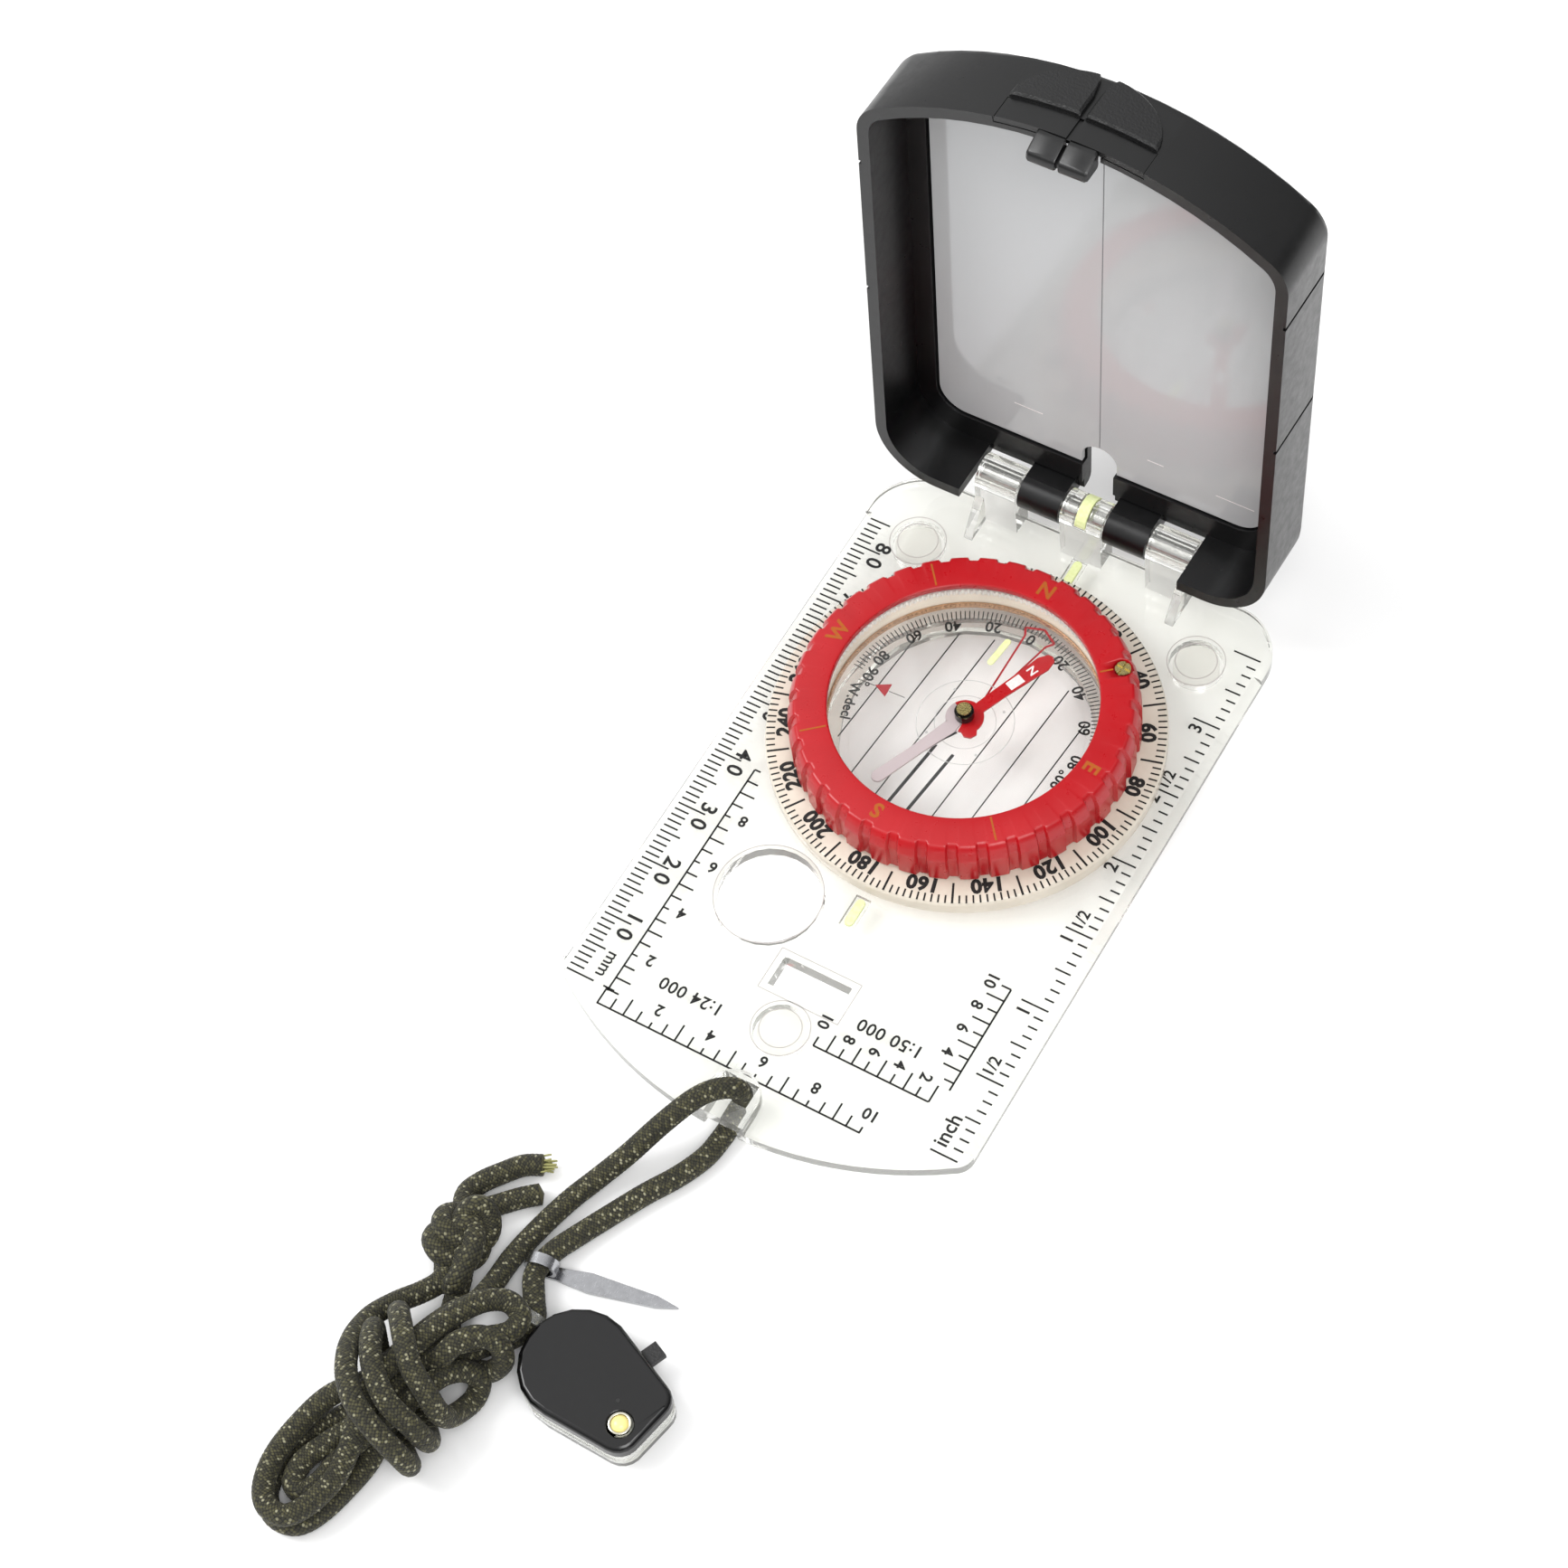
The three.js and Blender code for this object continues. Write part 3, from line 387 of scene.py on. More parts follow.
def finished_mesh(name, shape, smooth_below=35.0):
    """A mesh from a bmesh, smooth except at edges sharper than the angle."""
    bmesh.ops.recalc_face_normals(shape, faces=shape.faces)
    for face in shape.faces:
        face.smooth = True
    for edge in shape.edges:
        if len(edge.link_faces) == 2 and edge.calc_face_angle() > math.radians(smooth_below):
            edge.smooth = False
    mesh = bpy.data.meshes.new(name)
    shape.to_mesh(mesh)
    shape.free()
    return mesh


def loft(shape, outlines, closed=False):
    """Walls between outlines of equally many points in metres. Closed, the last one meets the first one.
    Otherwise a face covers each end."""
    rings = [[shape.verts.new(point) for point in outline] for outline in outlines]
    count = len(rings[0])
    following = rings[1:] + rings[:1] if closed else rings[1:]
    for one, two in zip(rings, following):
        for i in range(count):
            j = (i + 1) % count
            shape.faces.new((one[i], one[j], two[j], two[i]))
    if not closed:
        shape.faces.new(rings[0][::-1])
        shape.faces.new(rings[-1])


def rounded(corners, radius, steps=3):
    """A closed outline with each corner replaced by a short arc."""
    out = []
    count = len(corners)
    for i, corner in enumerate(corners):
        here = Vector(corner)
        before, after = Vector(corners[i - 1]), Vector(corners[(i + 1) % count])
        cut = min(radius, (before - here).length * 0.45, (after - here).length * 0.45)
        start = here + (before - here).normalized() * cut
        end = here + (after - here).normalized() * cut
        for step in range(steps + 1):
            t = step / steps
            out.append(start * (1 - t) ** 2 + here * 2 * t * (1 - t) + end * t * t)
    return out


def revolved(profile, segments, middle=DIAL_AT, change=None, turned_by=0.0):
    """A closed (radius, z) outline turned about an upright axis. change alters a point's radius."""
    shape = bmesh.new()
    rings = []
    for i in range(segments):
        bearing = 360.0 * i / segments
        radii = [(change(r, bearing) if change else r, z) for r, z in profile]
        rings.append([place(*polar(r, bearing + turned_by, middle), z) for r, z in radii])
    loft(shape, rings, closed=True)
    return shape


def band(inner, outer, bottom, top, edge=0.08, segments=200, middle=DIAL_AT):
    """A plain ring with softened edges."""
    corners = [(inner, bottom), (outer, bottom), (outer, top), (inner, top)]
    return revolved(rounded(corners, edge, 2), segments, middle)


def stacked_discs(shape, levels, segments, middle=DIAL_AT):
    """A closed round solid from its (radius, z) levels."""
    bearings = [360.0 * i / segments for i in range(segments)]
    loft(shape, [[place(*polar(r, bearing, middle), z) for bearing in bearings] for r, z in levels])
    return shape


def disc(shape, radius, bottom, top, segments=160, edge=0.05, middle=DIAL_AT):
    """A closed round plate with softened edges."""
    levels = [(radius - edge, bottom), (radius, bottom + edge), (radius, top - edge), (radius - edge, top)]
    return stacked_discs(shape, levels, segments, middle)


def curve_through(points, step):
    """Evenly spaced points of a Catmull-Rom curve through the given ones."""
    padded = [2 * points[0] - points[1], *points, 2 * points[-1] - points[-2]]
    fine = []
    for a, b, c, d in zip(padded, padded[1:], padded[2:], padded[3:]):
        parts = max(4, int((c - b).length / step * 2))
        for i in range(parts):
            t = i / parts
            fine.append(0.5 * (2 * b + (c - a) * t + (2 * a - 5 * b + 4 * c - d) * t ** 2
                               + (3 * b - a - 3 * c + d) * t ** 3))
    fine.append(points[-1])
    return evenly(fine, step)


def line_length(line):
    return sum((b - a).length for a, b in zip(line, line[1:]))


def evenly(fine, step):
    """Points a step apart along a dense line."""
    length = line_length(fine)
    count = max(2, round(length / step))
    out, walked, at = [fine[0]], 0.0, 1
    for a, b in zip(fine, fine[1:]):
        part = (b - a).length
        while at < count and walked + part >= length * at / count:
            out.append(a.lerp(b, (length * at / count - walked) / max(part, 1e-12)))
            at += 1
        walked += part
    return [*out[:count], fine[-1]]


def tube(shape, line, radius, around, relief=None, uv_layer=None):
    """A tube along a line of points in metres, with optional relief(turn, distance) in metres."""
    last = len(line) - 1
    tangents = [(line[min(i + 1, last)] - line[max(i - 1, 0)]).normalized() for i in range(last + 1)]
    normal = tangents[0].orthogonal().normalized()
    rings, walked = [], 0.0
    for i, (point, tangent) in enumerate(zip(line, tangents)):
        normal = (normal - tangent * normal.dot(tangent)).normalized()
        side = tangent.cross(normal)
        if i:
            walked += (point - line[i - 1]).length
        ring = []
        for j in range(around):
            turn = 2 * math.pi * j / around
            r = radius + (relief(turn, walked) if relief else 0.0)
            ring.append(shape.verts.new(point + (normal * math.cos(turn) + side * math.sin(turn)) * r))
        rings.append((ring, walked))
    girth = 2 * math.pi * radius / MM
    for (one, from_), (two, to) in zip(rings, rings[1:]):
        for j in range(around):
            k = (j + 1) % around
            face = shape.faces.new((one[j], one[k], two[k], two[j]))
            if uv_layer:
                corners = ((j, from_), (j + 1, from_), (j + 1, to), (j, to))
                for loop, (turn, distance) in zip(face.loops, corners):
                    loop[uv_layer].uv = (girth * turn / around, distance / MM)
    for (ring, _), outward in ((rings[0], -tangents[0]), (rings[-1], tangents[-1])):
        centre = sum((v.co for v in ring), Vector()) / around
        tip = shape.verts.new(centre + outward * (ring[0].co - centre).length * 0.35)
        for j in range(around):
            shape.faces.new((ring[j], ring[(j + 1) % around], tip))


# ---- Lanyard ----
CORD_D = 3.0
HANK_START = (-11.5, -47.6)
HANK_HEADING = math.radians(-107.5)

STRAND_A = [
    (0.9, -5.7, 3.7), (0.85, -5.7, 5.4), (0.1, -6.4, 7.2), (-1.9, -8.2, 7.8), (-3.8, -10.8, 7.3),
    (-6.2, -15, 5.4), (-8.6, -20, 3.2), (-10.8, -24.4, 1.8), (-12.6, -29, 1.55), (-14, -34.3, 1.55),
    (-14.9, -39.6, 1.7), (-14.6, -44.6, 3.2), (-14.5, -48.4, 5.2),
]
STRAND_B = [
    (0.9, -5.7, 3.3), (0.9, -6, 2.4), (0.9, -7, 1.75), (0.9, -9, 1.55), (0.8, -11.6, 1.55),
    (0.3, -15, 1.55), (-1.5, -19.2, 1.55), (-4, -23.4, 1.55), (-6.4, -28, 1.55), (-8.9, -33.2, 1.8),
    (-10.3, -37, 2.4), (-10.7, -40.6, 2.5), (-8.9, -43.6, 2.5), (-7.2, -46.2, 2.5), (-8, -49, 2.5),
    (-9.2, -50.8, 2.6),
]
TAIL_LONG = [(-25.4, -35.4, 1.9), (-24.7, -32.6, 1.6), (-22.8, -29.9, 1.55), (-20.9, -27.7, 1.55),
             (-18.6, -26.4, 1.55)]
TAIL_SHORT = [(-22.2, -36, 1.9), (-20.6, -34, 1.6), (-18.6, -31.9, 1.55), (-16.6, -30.2, 1.55)]
KNOT_AT = (-21.4, -41.9, 4.25)
KNOT_TURNED = math.radians(28)
KNOT_STEPS = 120


def in_hank(u, s, z):
    """A point of the hank, u along it from the head, s to its right and z up, in the plate's frame."""
    return *turned(u, s, HANK_HEADING, HANK_START), z


# Each turn round the hank starts on its right, goes over the top to the left and comes back underneath.
WRAPS = [
    (14.6, 7.4, 5.5), (15.4, 7.1, 8.4), (15.2, 5.1, 11.3), (14.6, 1.8, 12.9), (12.9, -1.8, 12.9),
    (11.2, -5.3, 11), (10.4, -7.5, 7.6), (11.2, -6.8, 4), (13.2, -3.8, 1.75), (15.5, 0.5, 1.55),
    (17, 4.5, 1.9), (18.2, 7.6, 4.2), (18.9, 8.2, 7.2), (19.4, 6.7, 10.4), (19.8, 3.3, 12.8),
    (18.6, -0.8, 13.3), (16.4, -4.7, 12), (14.3, -7.6, 8.8), (14.6, -7.8, 5), (16.5, -5, 2),
    (18.8, -1, 1.55), (20.5, 3, 1.55), (21.8, 7, 2.8), (22.4, 9, 5.6), (22.9, 8.1, 9), (23.3, 4.8, 12),
    (22.9, 0.4, 13.3), (20.8, -4.2, 12.2), (17.6, -7.9, 9.6), (13.6, -10, 6.9), (9.5, -10.2, 4.8),
    (6, -9.4, 3.8), (3.2, -9, 3.4), (0.6, -9.6, 3.6),
]


def upper_route():
    """Slot, three times along the hank with its end and head loops, the turns round it, and the knot."""
    inside = [
        (5, -2.8, 6.9), (9, -3, 7.5), (14, -3, 7.5), (19, -3, 7.5), (23.6, -5.4, 6), (27.7, -5.9, 5),
        (33.1, -5.1, 4.6), (37, -3.2, 4.6), (39.1, -0.5, 4.6), (38.4, 2.5, 4.6), (35, 3.6, 4.6),
        (30.2, 3.2, 4.8), (25.8, 1.6, 6.6), (21.5, -0.6, 9.4), (18, -1.5, 10.1), (13, -1.5, 10.1),
        (8.5, -1.5, 9.9), (4, -1.2, 9), (0.7, -0.4, 7.9), (-1.2, 1.4, 7.1), (-1, 3.7, 6.4),
        (1.4, 4.3, 6.3), (4.6, 2.7, 6.9), (8.6, 0.7, 7.4), (13, 0, 7.5), (19, 0, 7.4), (24, -0.6, 4.8),
        (28.5, -1.7, 3.6), (32, -2, 3.4), (34.5, -0.9, 3.2), (34.6, 1, 3), (32, 1.5, 2.9), (28, 0.9, 3),
        (24, 1.4, 4.6), (20, 2.7, 6.9), (15, 3, 7.5), (11.4, 3.2, 7), (8.9, 4.1, 5.4), (8.1, 5.5, 3.5),
        (9.8, 6.5, 2.4), (12.4, 7, 3.2),
    ]
    return [*STRAND_A, *(in_hank(*p) for p in [*inside, *WRAPS])]


def lower_route():
    """Slot, through the key and the lamp's eye, along the hank and back, a head loop, and the knot."""
    inside = [
        (4.6, 2.2, 3.2), (8, 1.6, 4.4), (12, 1.5, 4.9), (18, 1.6, 4.9), (22, 2.4, 3.4),
        (25.5, 3.4, 1.9), (29.5, 4, 1.55), (34.4, 4.3, 1.55), (37.7, 3.4, 1.55), (39.1, 0.6, 1.55),
        (38.1, -2.4, 1.55), (35.4, -4.3, 1.55), (32, -5.1, 1.6), (28, -4.9, 1.8), (24, -3.3, 3.2),
        (20.5, -1.7, 4.8), (16, -1.5, 4.9), (12.5, -0.4, 6.2), (10.5, 1.6, 8.6), (7.8, 2, 9.7),
        (5.1, 3.1, 9.3), (3.7, 5.1, 7.8), (4.4, 6.4, 5.4), (6.2, 5.5, 3.2), (7.4, 3.2, 1.8),
        (7.6, -0.2, 1.55), (6.2, -3.6, 1.55), (3.8, -5.8, 1.9), (1.2, -7.2, 2.8), (-0.6, -8.6, 3.4),
    ]
    return [*STRAND_B, *(in_hank(*p) for p in inside)]


def weave_relief(turn, distance):
    """The braid's own shape: slanted bands that pass over and under each other."""
    bands, turns_per_metre = 8, 4 / (5.2 * MM)
    one = math.sin(bands * turn + 2 * math.pi * distance * turns_per_metre)
    two = math.sin(bands * turn - 2 * math.pi * distance * turns_per_metre)
    return 0.045 * MM * one * two


CORD_SMOOTH = 80.0
CORD_STEP = 0.3 * MM


def cord_shape(route):
    """A braided cord along a route, and the line of its middle."""
    shape = bmesh.new()
    layer = shape.loops.layers.uv.new("braid")
    line = curve_through([place(*p) for p in route], CORD_STEP)
    tube(shape, line, CORD_D / 2 * MM, 28, weave_relief, layer)
    return shape, line


def overhand_knot():
    """Both strands tied in one overhand knot, pulled tight."""
    shape = bmesh.new()
    layer = shape.loops.layers.uv.new("braid")
    for side in (-1, 1):
        line = []
        for i in range(KNOT_STEPS + 1):
            t = 2 * math.pi * i / KNOT_STEPS
            x = (math.sin(t) + 2 * math.sin(2 * t)) * 1.15 + side * 0.6
            y = (math.cos(t) - 2 * math.cos(2 * t)) * 1.62 + side * 1.15
            z = -math.sin(3 * t) * 1.35 + side * 0.3
            line.append(place(*turned(x, y, KNOT_TURNED, KNOT_AT), KNOT_AT[2] + z))
        tube(shape, evenly(line, CORD_STEP), CORD_D / 2 * MM, 24, weave_relief, layer)
    return shape


def frayed_tip(end, direction):
    """Loose threads at a cut end."""
    shape = bmesh.new()
    chance = random.Random(7)
    side = direction.orthogonal().normalized()
    threads = 16
    for i in range(threads):
        outward = Matrix.Rotation(2 * math.pi * i / threads, 3, direction) @ side
        start = end - direction * 0.6 * MM + outward * chance.uniform(0.3, 1.2) * MM
        length = chance.uniform(1.2, 2.8) * MM
        middle = start + direction * length * 0.5 + outward * chance.uniform(0.0, 0.3) * MM
        tip = start + direction * length + outward * chance.uniform(-0.3, 0.8) * MM
        tube(shape, curve_through([start, middle, tip], CORD_STEP), 0.14 * MM, 6)
    return shape


def cord_piece(name, shape, replaced):
    return piece(name, shape, "cord", "base", replaced, CORD_SMOOTH)


def make_lanyard():
    upper_shape, upper_line = cord_shape(upper_route())
    lower_shape, lower_line = cord_shape(lower_route())
    upper = cord_piece("lanyard_upper", upper_shape,
                       ("lanyard_strand_upper", "lanyard_hank_wraps", "lanyard_hank_loops"))
    lower = cord_piece("lanyard_lower", lower_shape, ("lanyard_strand_lower", "lanyard_hank_head"))
    knot = cord_piece("lanyard_knot_tied", overhand_knot(), ("lanyard_knot",))
    from_knot = (KNOT_AT[0] - 1.5, KNOT_AT[1] + 3.0, 3.6)
    long_shape, long_line = cord_shape([from_knot, *TAIL_LONG])
    short_shape, _ = cord_shape([from_knot, *TAIL_SHORT])
    tails = [cord_piece("lanyard_tail_long_end", long_shape, ("lanyard_tail_long",))]
    threads = frayed_tip(long_line[-1], (long_line[-1] - long_line[-2]).normalized())
    tails.append(piece("lanyard_frayed_threads", threads, "thread", "base", (), CORD_SMOOTH))
    tails.append(cord_piece("lanyard_tail_short_end", short_shape, ("lanyard_tail_short",)))


# ---- Stage ----
def make_stage():
    shape = bmesh.new()
    bmesh.ops.create_grid(shape, x_segments=1, y_segments=1, size=2.0)
    mesh = bpy.data.meshes.new("floor")
    shape.to_mesh(mesh)
    shape.free()
    floor = bpy.data.objects.new("floor", mesh)
    floor.location.z = -0.00005
    bpy.context.scene.collection.objects.link(floor)
    surface = Surface("floor_paper", Roughness=0.9, Specular_IOR_Level=0.0)
    surface.vary("Base Color", surface.noise(60.0, 2.0), (0.3, 0.86), (0.7, 0.88))
    mesh.materials.append(surface.material)


def area_light(name, at, size, watts):
    """A round lamp that points at the origin."""
    data = bpy.data.lights.new(name, "AREA")
    data.shape = "DISK"
    data.size = size
    data.energy = watts
    light = bpy.data.objects.new(name, data)
    light.location = at
    light.rotation_euler = (-Vector(at)).to_track_quat("-Z", "Y").to_euler()
    bpy.context.scene.collection.objects.link(light)


def make_room():
    """A plain room round the object, lighter above and on one side."""
    world = bpy.data.worlds.new("studio")
    bpy.context.scene.world = world
    world.use_nodes = True
    tree = world.node_tree
    direction = add_node(tree, "ShaderNodeTexCoord").outputs["Generated"]
    side = add_node(tree, "ShaderNodeVectorMath", {0: direction, 1: (-0.38, 0.0, 0.92)},
                    operation="DOT_PRODUCT")
    room = add_ramp(tree, side.outputs["Value"], (0.0, 0.2), (0.4, 0.55), (0.85, 1.0))
    background = tree.nodes["Background"]
    background.inputs["Strength"].default_value = 1.1
    tree.links.new(room, background.inputs["Color"])


def make_lights():
    make_room()
    area_light("key_light", (-0.6, -0.2, 0.8), 0.5, 5.0)
    area_light("fill_light", (0.6, -0.5, 0.7), 0.7, 3.5)
    area_light("top_light", (0.35, -0.3, 1.0), 0.5, 3.5)
    scene = bpy.context.scene
    scene.view_settings.view_transform = "Standard"
    scene.cycles.max_bounces = 24
    scene.cycles.transmission_bounces = 24
    scene.cycles.transparent_max_bounces = 32


# ---- Printing ----
PRINT_THICKNESS = 0.02
PRINT_GAP = 0.01
DIGIT_HEIGHT = 0.73


class Print:
    """Marks of one colour on one flat surface, collected into a single thin piece."""

    def __init__(self, name, z, middle=(0.0, 0.0), bearing=0.0):
        self.name = name
        self.shape = bmesh.new()
        turn = Matrix.Rotation(math.radians(-bearing), 4, "Z")
        self.base = Matrix.Translation(place(*middle, z)) @ turn @ Matrix.Scale(MM, 4)

    def prism(self, outline):
        """A flat closed outline, given a print's thickness."""
        loft(self.shape, [[self.base @ Vector((x, y, z)) for x, y in outline]
                          for z in (0.0, PRINT_THICKNESS)])

    def line(self, start, end, width):
        one, two = Vector(start), Vector(end)
        side = (two - one).normalized().orthogonal() * width / 2
        self.prism([one - side, two - side, two + side, one + side])

    def spoke(self, inner, outer, bearing, width):
        """A line that points away from the middle."""
        self.line(polar(inner, bearing), polar(outer, bearing), width)

    def circle(self, radius, width, steps=72):
        """A thin round line, in short straight parts."""
        inner, outer = radius - width / 2, radius + width / 2
        for i in range(steps):
            one, two = 360.0 * i / steps, 360.0 * (i + 1) / steps
            self.prism([polar(r, b) for r, b in ((inner, one), (inner, two), (outer, two), (outer, one))])

    def words(self, text, at, height, angle=0.0, weight=0.0, spread=1.0):
        """Letters centred on a point. angle is how far their line is turned, anticlockwise from +X."""
        data = bpy.data.curves.new("letters", "FONT")
        data.body = text
        data.extrude = 0.5
        data.offset = weight
        data.space_character = spread
        data.resolution_u = 3
        letters = bpy.data.objects.new("letters", data)
        mesh = letters.to_mesh()
        xs = [v.co.x for v in mesh.vertices]
        middle = Vector(((min(xs) + max(xs)) / 2, DIGIT_HEIGHT / 2, -0.5))
        size = height / DIGIT_HEIGHT
        mesh.transform(Matrix.Translation(-middle))
        mesh.transform(Matrix.Diagonal((size, size, PRINT_THICKNESS, 1.0)))
        turn = Matrix.Rotation(math.radians(angle), 4, "Z")
        mesh.transform(self.base @ Matrix.Translation((at[0], at[1], 0.0)) @ turn)
        self.shape.from_mesh(mesh)
        letters.to_mesh_clear()
        bpy.data.objects.remove(letters)
        bpy.data.curves.remove(data)

    def finish(self, body, material):
        piece(self.name, self.shape, material, body)


# ---- Prints on the plate ----
PLATE_LINE = 0.28
INCH = 25.4
RULER_X = 31.23
ROMER_STEP = 2.098
ROMER_CORNER = (-24.52, -2.65)
ROMER_SIDE = (-24.27, -2.28)
SMALL_ROMER_STEP = 2.011
SMALL_ROMER_LOW = (5.34, 5.71)
SMALL_ROMER_RIGHT = (25.11, 25.81)


def ticks(marks, start, gap, way, lengths):
    """A row of ticks, a gap apart, each with its own length along the way."""
    for n, length in enumerate(lengths):
        x, y = start[0] + n * gap[0], start[1] + n * gap[1]
        marks.line((x, y), (x + length * way[0], y + length * way[1]), PLATE_LINE)


def print_rulers(marks):
    """Millimetres on the left edge and sixteenths of an inch on the right."""
    ticks(marks, (-RULER_X, 0), (0, 1), (1, 0),
          [4.45 if mm % 10 == 0 else 3.3 if mm % 5 == 0 else 2.3 for mm in range(86)])
    for ten in range(1, 9):
        marks.words(str(ten), (-26.74, ten * 10 + 1.1), 2.45, -90, 0.02)
        marks.words("0", (-26.74, ten * 10 - 1.75), 2.45, -90, 0.02)
    marks.words("mm", (-26.3, 3.05), 1.95, -90, 0.012)
    ticks(marks, (RULER_X + 0.01, -0.2), (0, INCH / 16), (-1, 0),
          [4.2 if part % 8 == 0 else 2.4 if part % 4 == 0 else 1.45 for part in range(57)])
    marks.words("inch", (27.7, 3.3), 2.2, 90, 0.015)
    for size in (0.5, 1.5, 2.5):
        marks.words("1/2", (28.3, size * INCH + 1.9), 1.75, 90, 0.02)
    for whole in (1, 2, 3):
        marks.words(str(whole), (28.0, whole * INCH - 1.6), 2.0, 90, 0.02)
    for whole in (1, 2):
        marks.words(str(whole), (27.95, (whole + 0.5) * INCH - 1.75), 2.0, 90, 0.02)


def print_romer(marks):
    """The two edges of the map scale 1:24 000."""
    step, (left, low), (side, start) = ROMER_STEP, ROMER_CORNER, ROMER_SIDE
    marks.line((left - 0.1, low), (left + 20 * step + 0.1, low), PLATE_LINE)
    ticks(marks, ROMER_CORNER, (step, 0), (0, 1),
          [2.7 if n == 0 or n % 4 == 2 else 1.75 if n % 2 else 0.95 for n in range(21)])
    marks.line((side, start + step * 0.9), (side, start + step * 20), PLATE_LINE)
    ticks(marks, (side, start + step), (0, step), (1, 0),
          [0.95 if n % 4 == 0 else 2.4 if n % 2 == 0 else 1.75 for n in range(1, 21)])
    marks.line((side - 0.9, 0.0), (side + 0.9, 0.0), PLATE_LINE)
    for tenth in range(2, 12, 2):
        marks.words(str(tenth), (left + 2 * tenth * step - 0.1, 0.25), 1.75, 180, 0.025)
    for tenth in range(2, 10, 2):
        marks.words(str(tenth), (-21.36, start + 2 * tenth * step + 0.15), 1.75, 180, 0.025)
    marks.words("1:24 000", (-13.65, 4.2), 1.95, 180, 0.015, 1.08)


def print_small_romer(marks):
    """The two edges of the map scale 1:50 000."""
    step, (left, low), (right, top) = SMALL_ROMER_STEP, SMALL_ROMER_LOW, SMALL_ROMER_RIGHT
    lengths = [1.5 if n % 2 == 0 else 2.75 for n in range(10)]
    marks.line((left, low), (left + 9 * step, low), PLATE_LINE)
    ticks(marks, SMALL_ROMER_LOW, (step, 0), (0, 1), lengths)
    marks.line((right, top), (right, top - 8.6 * step), PLATE_LINE)
    ticks(marks, SMALL_ROMER_RIGHT, (0, -step), (-1, 0), lengths[:9])
    marks.words("10", (left - 0.3, 9.5), 1.75, -90, 0.025)
    for i, text in enumerate(("8", "6", "4", "2"), 1):
        marks.words(text, (left + 2 * i * step, 8.75), 1.75, -90, 0.025)
    for i, text in enumerate(("10", "8", "6", "4")):
        marks.words(text, (22.15, top - 2 * i * step - 0.15), 1.75, -90, 0.025)
    marks.words("1:50 000", (13.9, 11.45), 1.95, 180, 0.015, 1.08)


def print_plate():
    marks = Print("print_plate_scales", PLATE_TOP + PRINT_GAP)
    print_rulers(marks)
    print_romer(marks)
    print_small_romer(marks)
    marks.finish("base", "print_black")


def plate_ridges():
    """Thin grey lines where the plate has low moulded ridges, round the feet, the map hole and the latch
    hole: painted shade for the clear ridges' edges.
    """
    # ridge_grey is painted shade: the clear ridges themselves have no colour.
    width, foot_rings = 0.13, (4.2, 3.0)
    for name, middle, radii in (("left", (-23.0, 84.7), foot_rings), ("right", (23.0, 84.7), foot_rings),
                                ("front", (0.0, 5.9), foot_rings), ("map", (-12.2, 23.2), (7.85,))):
        ridge = Print("ridge_" + name, PLATE_TOP + PRINT_GAP, middle)
        for radius in radii:
            ridge.circle(radius, width)
        ridge.finish("base", "ridge_grey")
    ridge = Print("ridge_latch", PLATE_TOP + PRINT_GAP)
    corners = ((-6.1, 10.0), (6.7, 10.0), (6.7, 16.8), (-6.1, 16.8))
    for start, end in zip(corners, corners[1:] + corners[:1]):
        ridge.line(start, end, width)
    ridge.finish("base", "ridge_grey")


# ---- Prints on the dial and in the capsule ----
RING_TOP = 6.2
BEZEL_TOP = 13.9
CAPSULE_FLOOR = 6.9
CLINOMETER_TOP = 7.62
BEZEL_TURNED = 4.6
SCALE_TURNED = 4.65
MERIDIANS_TURNED = 4.7
ARROW_TURNED = 7.0
CLINOMETER_TURNED = -92.3


def print_dial():
    """The degree scale of the tinted ring, and the bezel's letters and ticks."""
    scale = Print("print_degrees", RING_TOP + PRINT_GAP, DIAL_AT, SCALE_TURNED)
    for degree in range(0, 360, 2):
        inner, width = (25.3, 0.32) if degree % 20 == 10 else (27.25, 0.25)
        scale.spoke(inner, 28.5, degree, width)
    for degree in range(0, 360, 20):
        scale.words(str(degree), polar(25.95, degree), 2.2, -degree, 0.045, 1.05)
    scale.finish("dial", "print_black")
    marks = Print("print_bezel", BEZEL_TOP + PRINT_GAP, DIAL_AT, BEZEL_TURNED)
    for quarter, letter in enumerate("NESW"):
        marks.words(letter, polar(21.45, quarter * 90), 2.35, -quarter * 90, 0.03)
        marks.spoke(19.6, 23.4 if quarter else 21.5, quarter * 90 + 45, 0.26)
    marks.finish("dial", "print_orange")


def print_meridians():
    """Meridian lines and the declination scale on the capsule's floor."""
    lines = Print("print_meridians", CAPSULE_FLOOR + PRINT_GAP, DIAL_AT, MERIDIANS_TURNED)
    edge = 18.2
    for offset in (4.4, 9.3, 14.3):
        reach = math.sqrt(edge ** 2 - offset ** 2)
        for side in (-1, 1):
            lines.line((side * offset, -reach), (side * offset, reach * 0.8), 0.2)
    for degree in range(-90, 91, 2):
        lines.spoke(17.8, 19.3, degree, 0.16)
    for side, label in ((-1, "W.decl"), (1, "E.decl")):
        for degree in (20, 40, 60, 80):
            lines.words(str(degree), polar(16.75, side * degree), 1.75, 180 - side * degree, 0.02)
        lines.words("90°", polar(16.3, side * 92), 1.75, 180 - side * 90, 0.02)
        lines.words(label, polar(17.0, side * 108), 1.6, 180 - side * 109, 0.02)
    lines.words("0", polar(16.75, 0), 1.75, 180, 0.02)
    lines.finish("capsule", "print_black")


